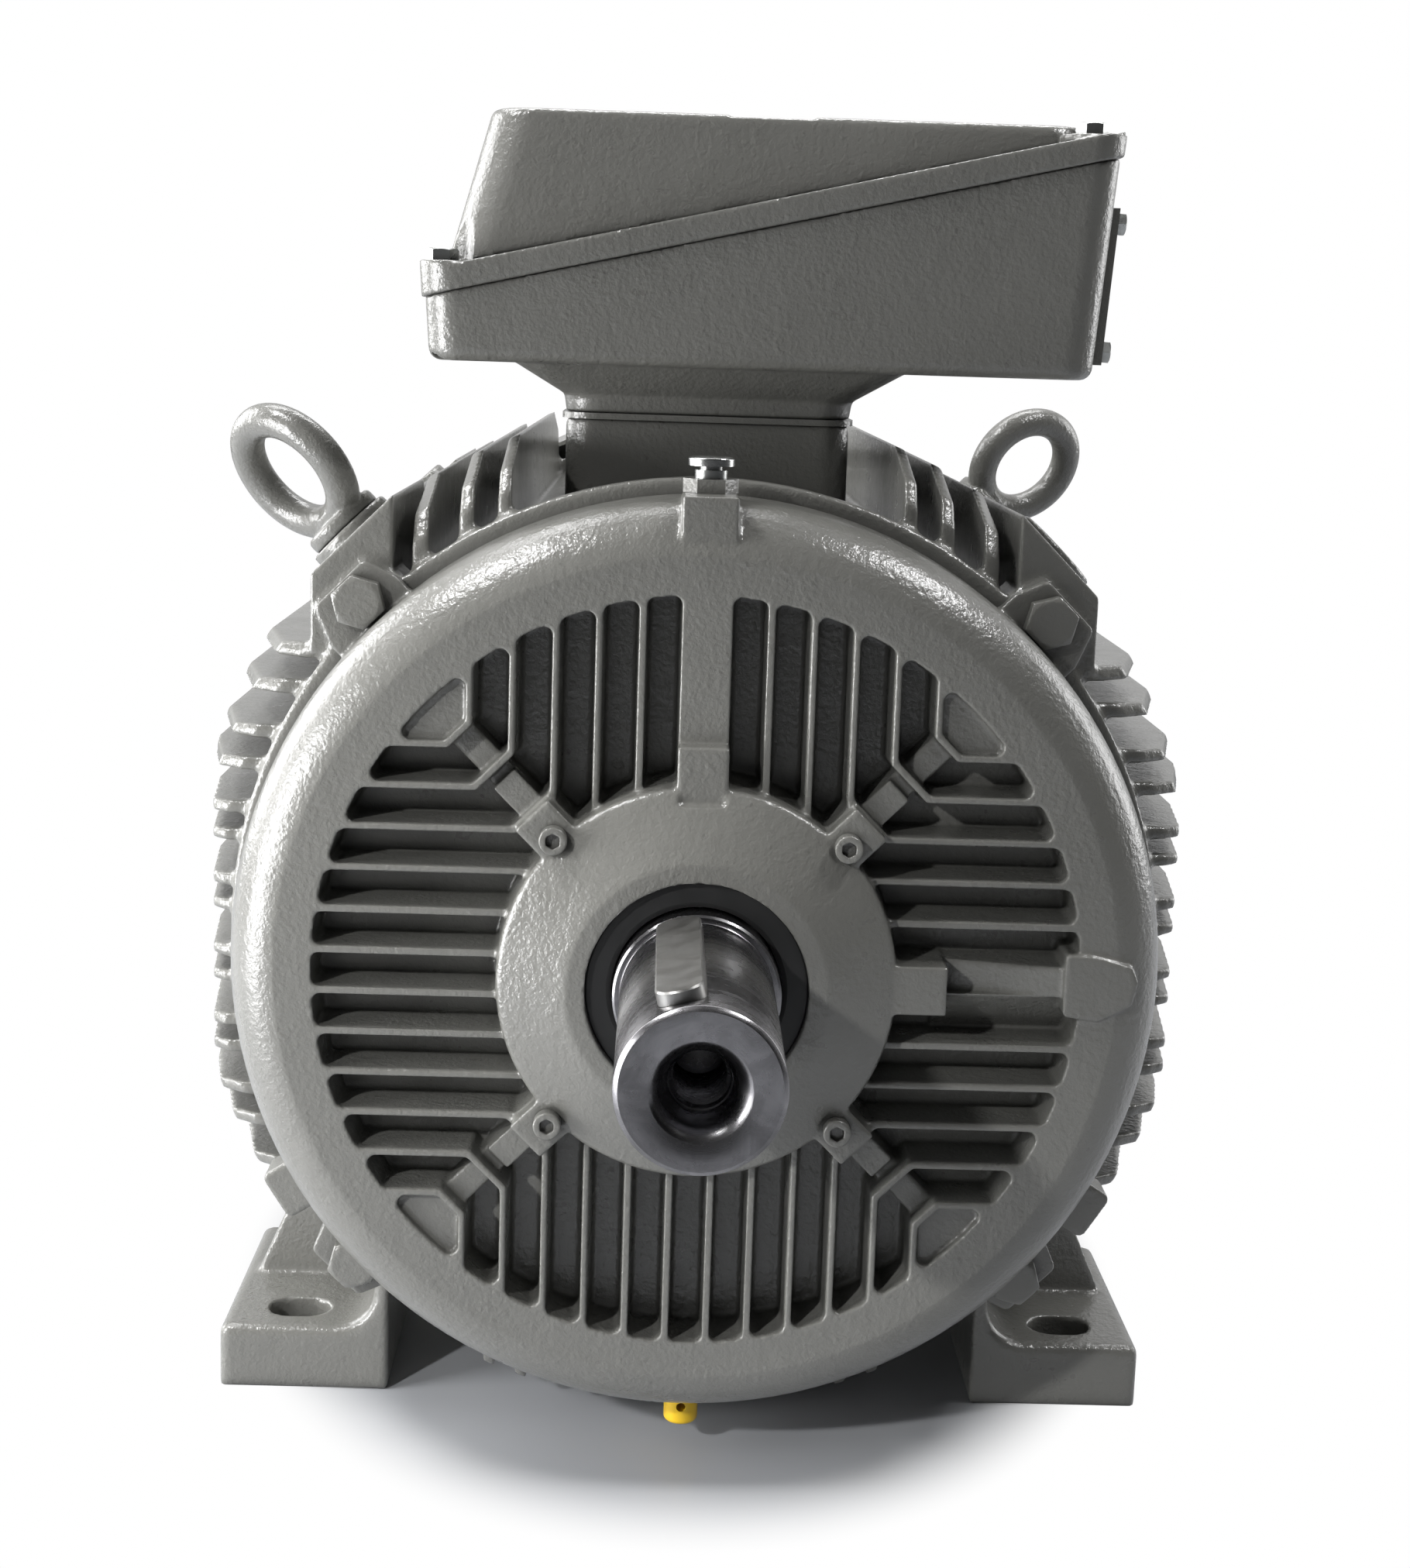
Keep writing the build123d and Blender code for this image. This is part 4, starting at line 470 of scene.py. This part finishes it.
def add_floor():
    """Pale floor that takes the motor's shadow and turns to plain white further out."""
    g = Graph("floor")
    tone = g.blend(g.spread(g.noise(3.0, 3.0), 0.3, 0.7), (0.34, 0.35, 0.37, 1.0), (0.40, 0.41, 0.43, 1.0))
    material = g.finish(
        Base_Color=tone, Roughness=g.spread(g.noise(8.0, 3.0), 0.3, 0.7, 0.40, 0.55),
        Normal=g.bump(g.noise(400, 2.0), 0.05, 0.2 * MM))
    surface = g.output.inputs["Surface"].links[0].from_socket
    stretched = g.add("ShaderNodeMapping", {"Vector": g.coords, "Scale": (1.5, 1.0, 1.0)}).outputs[0]
    distance = g.add("ShaderNodeVectorMath", {0: stretched}, operation="LENGTH").outputs["Value"]
    far_out = g.add("ShaderNodeMapRange", {
        "Value": distance, "From Min": 0.25, "From Max": 0.31}, interpolation_type="SMOOTHSTEP").outputs[0]
    seen = g.add("ShaderNodeLightPath").outputs["Is Camera Ray"]
    white = g.add("ShaderNodeEmission", {"Strength": 1.0}).outputs[0]
    whitened = g.math("MULTIPLY", far_out, seen)
    faded = g.add("ShaderNodeMixShader", {0: whitened, 1: surface, 2: white}).outputs[0]
    g.tree.links.new(faded, g.output.inputs["Surface"])
    mesh = bpy.data.meshes.new("floor")
    reach = 12.0
    corners = [(-reach, -reach, 0), (reach, -reach, 0), (reach, reach, 0), (-reach, reach, 0)]
    mesh.from_pydata(corners, [], [(0, 1, 2, 3)])
    mesh.materials.append(material)
    floor = bpy.data.objects.new("floor", mesh)
    floor.location.z = -0.2 * MM
    SCENE.collection.objects.link(floor)


add_camera()
add_world()
add_floor()
add_key((-1.15, -1.85, 1.15), (-0.07, -0.25, 0.13), 128, 0.05, 17)
add_light("left", (-0.80, -0.45, 0.24), (0, -0.25, 0.10), 0.35, 0.55, 9)
add_light("low_fill", (-0.40, -1.30, 0.08), (-0.05, -0.25, 0.05), 0.8, 0.14, 1.6, mirrored=False)
add_light("top_left", (-0.80, -0.36, 1.45), (-0.05, -0.2, 0.33), 0.42, 0.26, 13)
add_light("top_right", (0.82, -0.30, 1.40), (0.05, -0.2, 0.33), 0.36, 0.24, 8)
add_light("overhead", (-0.05, 0.60, 1.55), (0, -0.1, 0.3), 1.6, 0.30, 14)
add_light("left_back", (-1.6, 0.65, 0.75), (0, 0, 0.2), 1.1, 1.2, 24)
add_light("right_back", (1.7, 0.7, 0.7), (0, 0, 0.2), 0.9, 1.1, 10)
SCENE.view_settings.view_transform = "Standard"


# ---------------------------------------------------------------- pieces
def slot_prism(length, width, low, high, steps=12):
    """Round-ended bar along Y between two heights, centred on the Z axis."""
    radius = width / 2
    outline = []
    for end, start in ((1, 0.0), (-1, math.pi)):
        for step in range(steps + 1):
            angle = start + math.pi * step / steps
            y = end * (length / 2 - radius) + radius * math.sin(angle)
            outline.append((radius * math.cos(angle), y))
    build = bmesh.new()
    bottom = [build.verts.new((x, y, low)) for x, y in outline]
    top = [build.verts.new((x, y, high)) for x, y in outline]
    build.faces.new(list(reversed(bottom)))
    build.faces.new(top)
    for step in range(len(outline)):
        after = (step + 1) % len(outline)
        build.faces.new([bottom[step], bottom[after], top[after], top[step]])
    mesh = bpy.data.meshes.new("slot")
    build.to_mesh(mesh)
    build.free()
    return mesh


def add_shaft():
    """Turned shaft with its keyway and a real M20 thread behind the centring cone."""
    low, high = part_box("shaft")
    end = low[1]
    key_low, key_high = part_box("shaft_key")
    shoulder = end + SHAFT_END_LENGTH
    seat, tail = SHAFT_R, high[1]
    profile = [
        (end + 58 * MM, 0), (end + 53 * MM, THREAD_MAJOR), (end + 15 * MM, THREAD_MAJOR),
        (end + 14.6 * MM, 10.5 * MM), (end + 10.5 * MM, 10.5 * MM), (end + 2.2 * MM, 14.2 * MM),
        (end + 0.1 * MM, 16.4 * MM), (end, 16.6 * MM), (end, seat - 1.6 * MM),
        (end + 0.15 * MM, seat - 1.4 * MM),
        (end + 1.4 * MM, seat - 0.1 * MM), (end + 1.6 * MM, seat), (shoulder - 2.0 * MM, seat),
        (shoulder - 1.6 * MM, seat - 0.25 * MM), (shoulder - 0.3 * MM, seat - 0.25 * MM),
        (shoulder, seat), (shoulder, 29.2 * MM), (shoulder + 0.8 * MM, 30 * MM), (-232 * MM, 30 * MM),
        (-232 * MM, 36 * MM), (232 * MM, 36 * MM), (232 * MM, 30 * MM), (275 * MM, 30 * MM),
        (275 * MM, 24 * MM), (tail - 1 * MM, 24 * MM), (tail, 23 * MM), (tail, 0)]
    blank = spun(profile, 192)
    cutter = slot_prism(KEYWAY_LENGTH, KEYWAY_WIDTH, seat - KEYWAY_DEPTH, seat + KEYWAY_DEPTH)
    middle = (key_low[1] + key_high[1]) / 2
    cutter.transform(Matrix.Translation((0, middle, AXIS_Z)) @ Matrix.Rotation(KEY_TURN, 4, "Y"))
    mesh = carved(blank, cutter)
    ridge = thread_ridge(end + 16 * MM, end + 50 * MM)
    build = bmesh.new()
    build.from_mesh(mesh)
    build.from_mesh(ridge)
    build.to_mesh(mesh)
    build.free()
    mesh.shade_smooth()
    mesh.set_sharp_from_angle(angle=math.radians(28))
    new_piece("shaft_turned", mesh, body_of_node["shaft"], "bare_steel", ["shaft"])


def thread_ridge(start, stop, pitch=THREAD_PITCH, steps=48):
    """Helical ridge of an M20 internal thread, as one closed band."""
    build = bmesh.new()
    rings = []
    turns = (stop - start) / pitch
    count = int(turns * steps)
    for index in range(count + 1):
        angle = 2 * math.pi * index / steps
        y = start + pitch * index / steps
        fade = min(1.0, index / steps, (count - index) / steps)
        crest = THREAD_MAJOR - (THREAD_MAJOR - THREAD_MINOR) * fade
        root = THREAD_MAJOR + 0.05 * MM
        corners = ((-1.15, root), (-0.2, crest), (0.2, crest), (1.15, root))
        rings.append([
            build.verts.new((r * math.sin(angle), y + shift * MM, AXIS_Z + r * math.cos(angle)))
            for shift, r in corners])
    for near, far in zip(rings, rings[1:]):
        for corner in range(4):
            after = (corner + 1) % 4
            build.faces.new([near[corner], near[after], far[after], far[corner]])
    build.faces.new(list(reversed(rings[0])))
    build.faces.new(rings[-1])
    bmesh.ops.recalc_face_normals(build, faces=build.faces)
    mesh = bpy.data.meshes.new("thread")
    build.to_mesh(mesh)
    build.free()
    return mesh


for name, cad_object in nodes.items():
    dress(cad_object, slot_of_node[name])

add_shaft()
for name, voxel, steps in CASTINGS:
    blocks = [NIPPLE_BLOCK] if name == "drive_end_shield" else []
    soft_piece(name, voxel * MM, steps, blocks=blocks)
for name in PAINTED_FASTENERS:
    soft_piece(name, 0.4 * MM, 3, "painted")
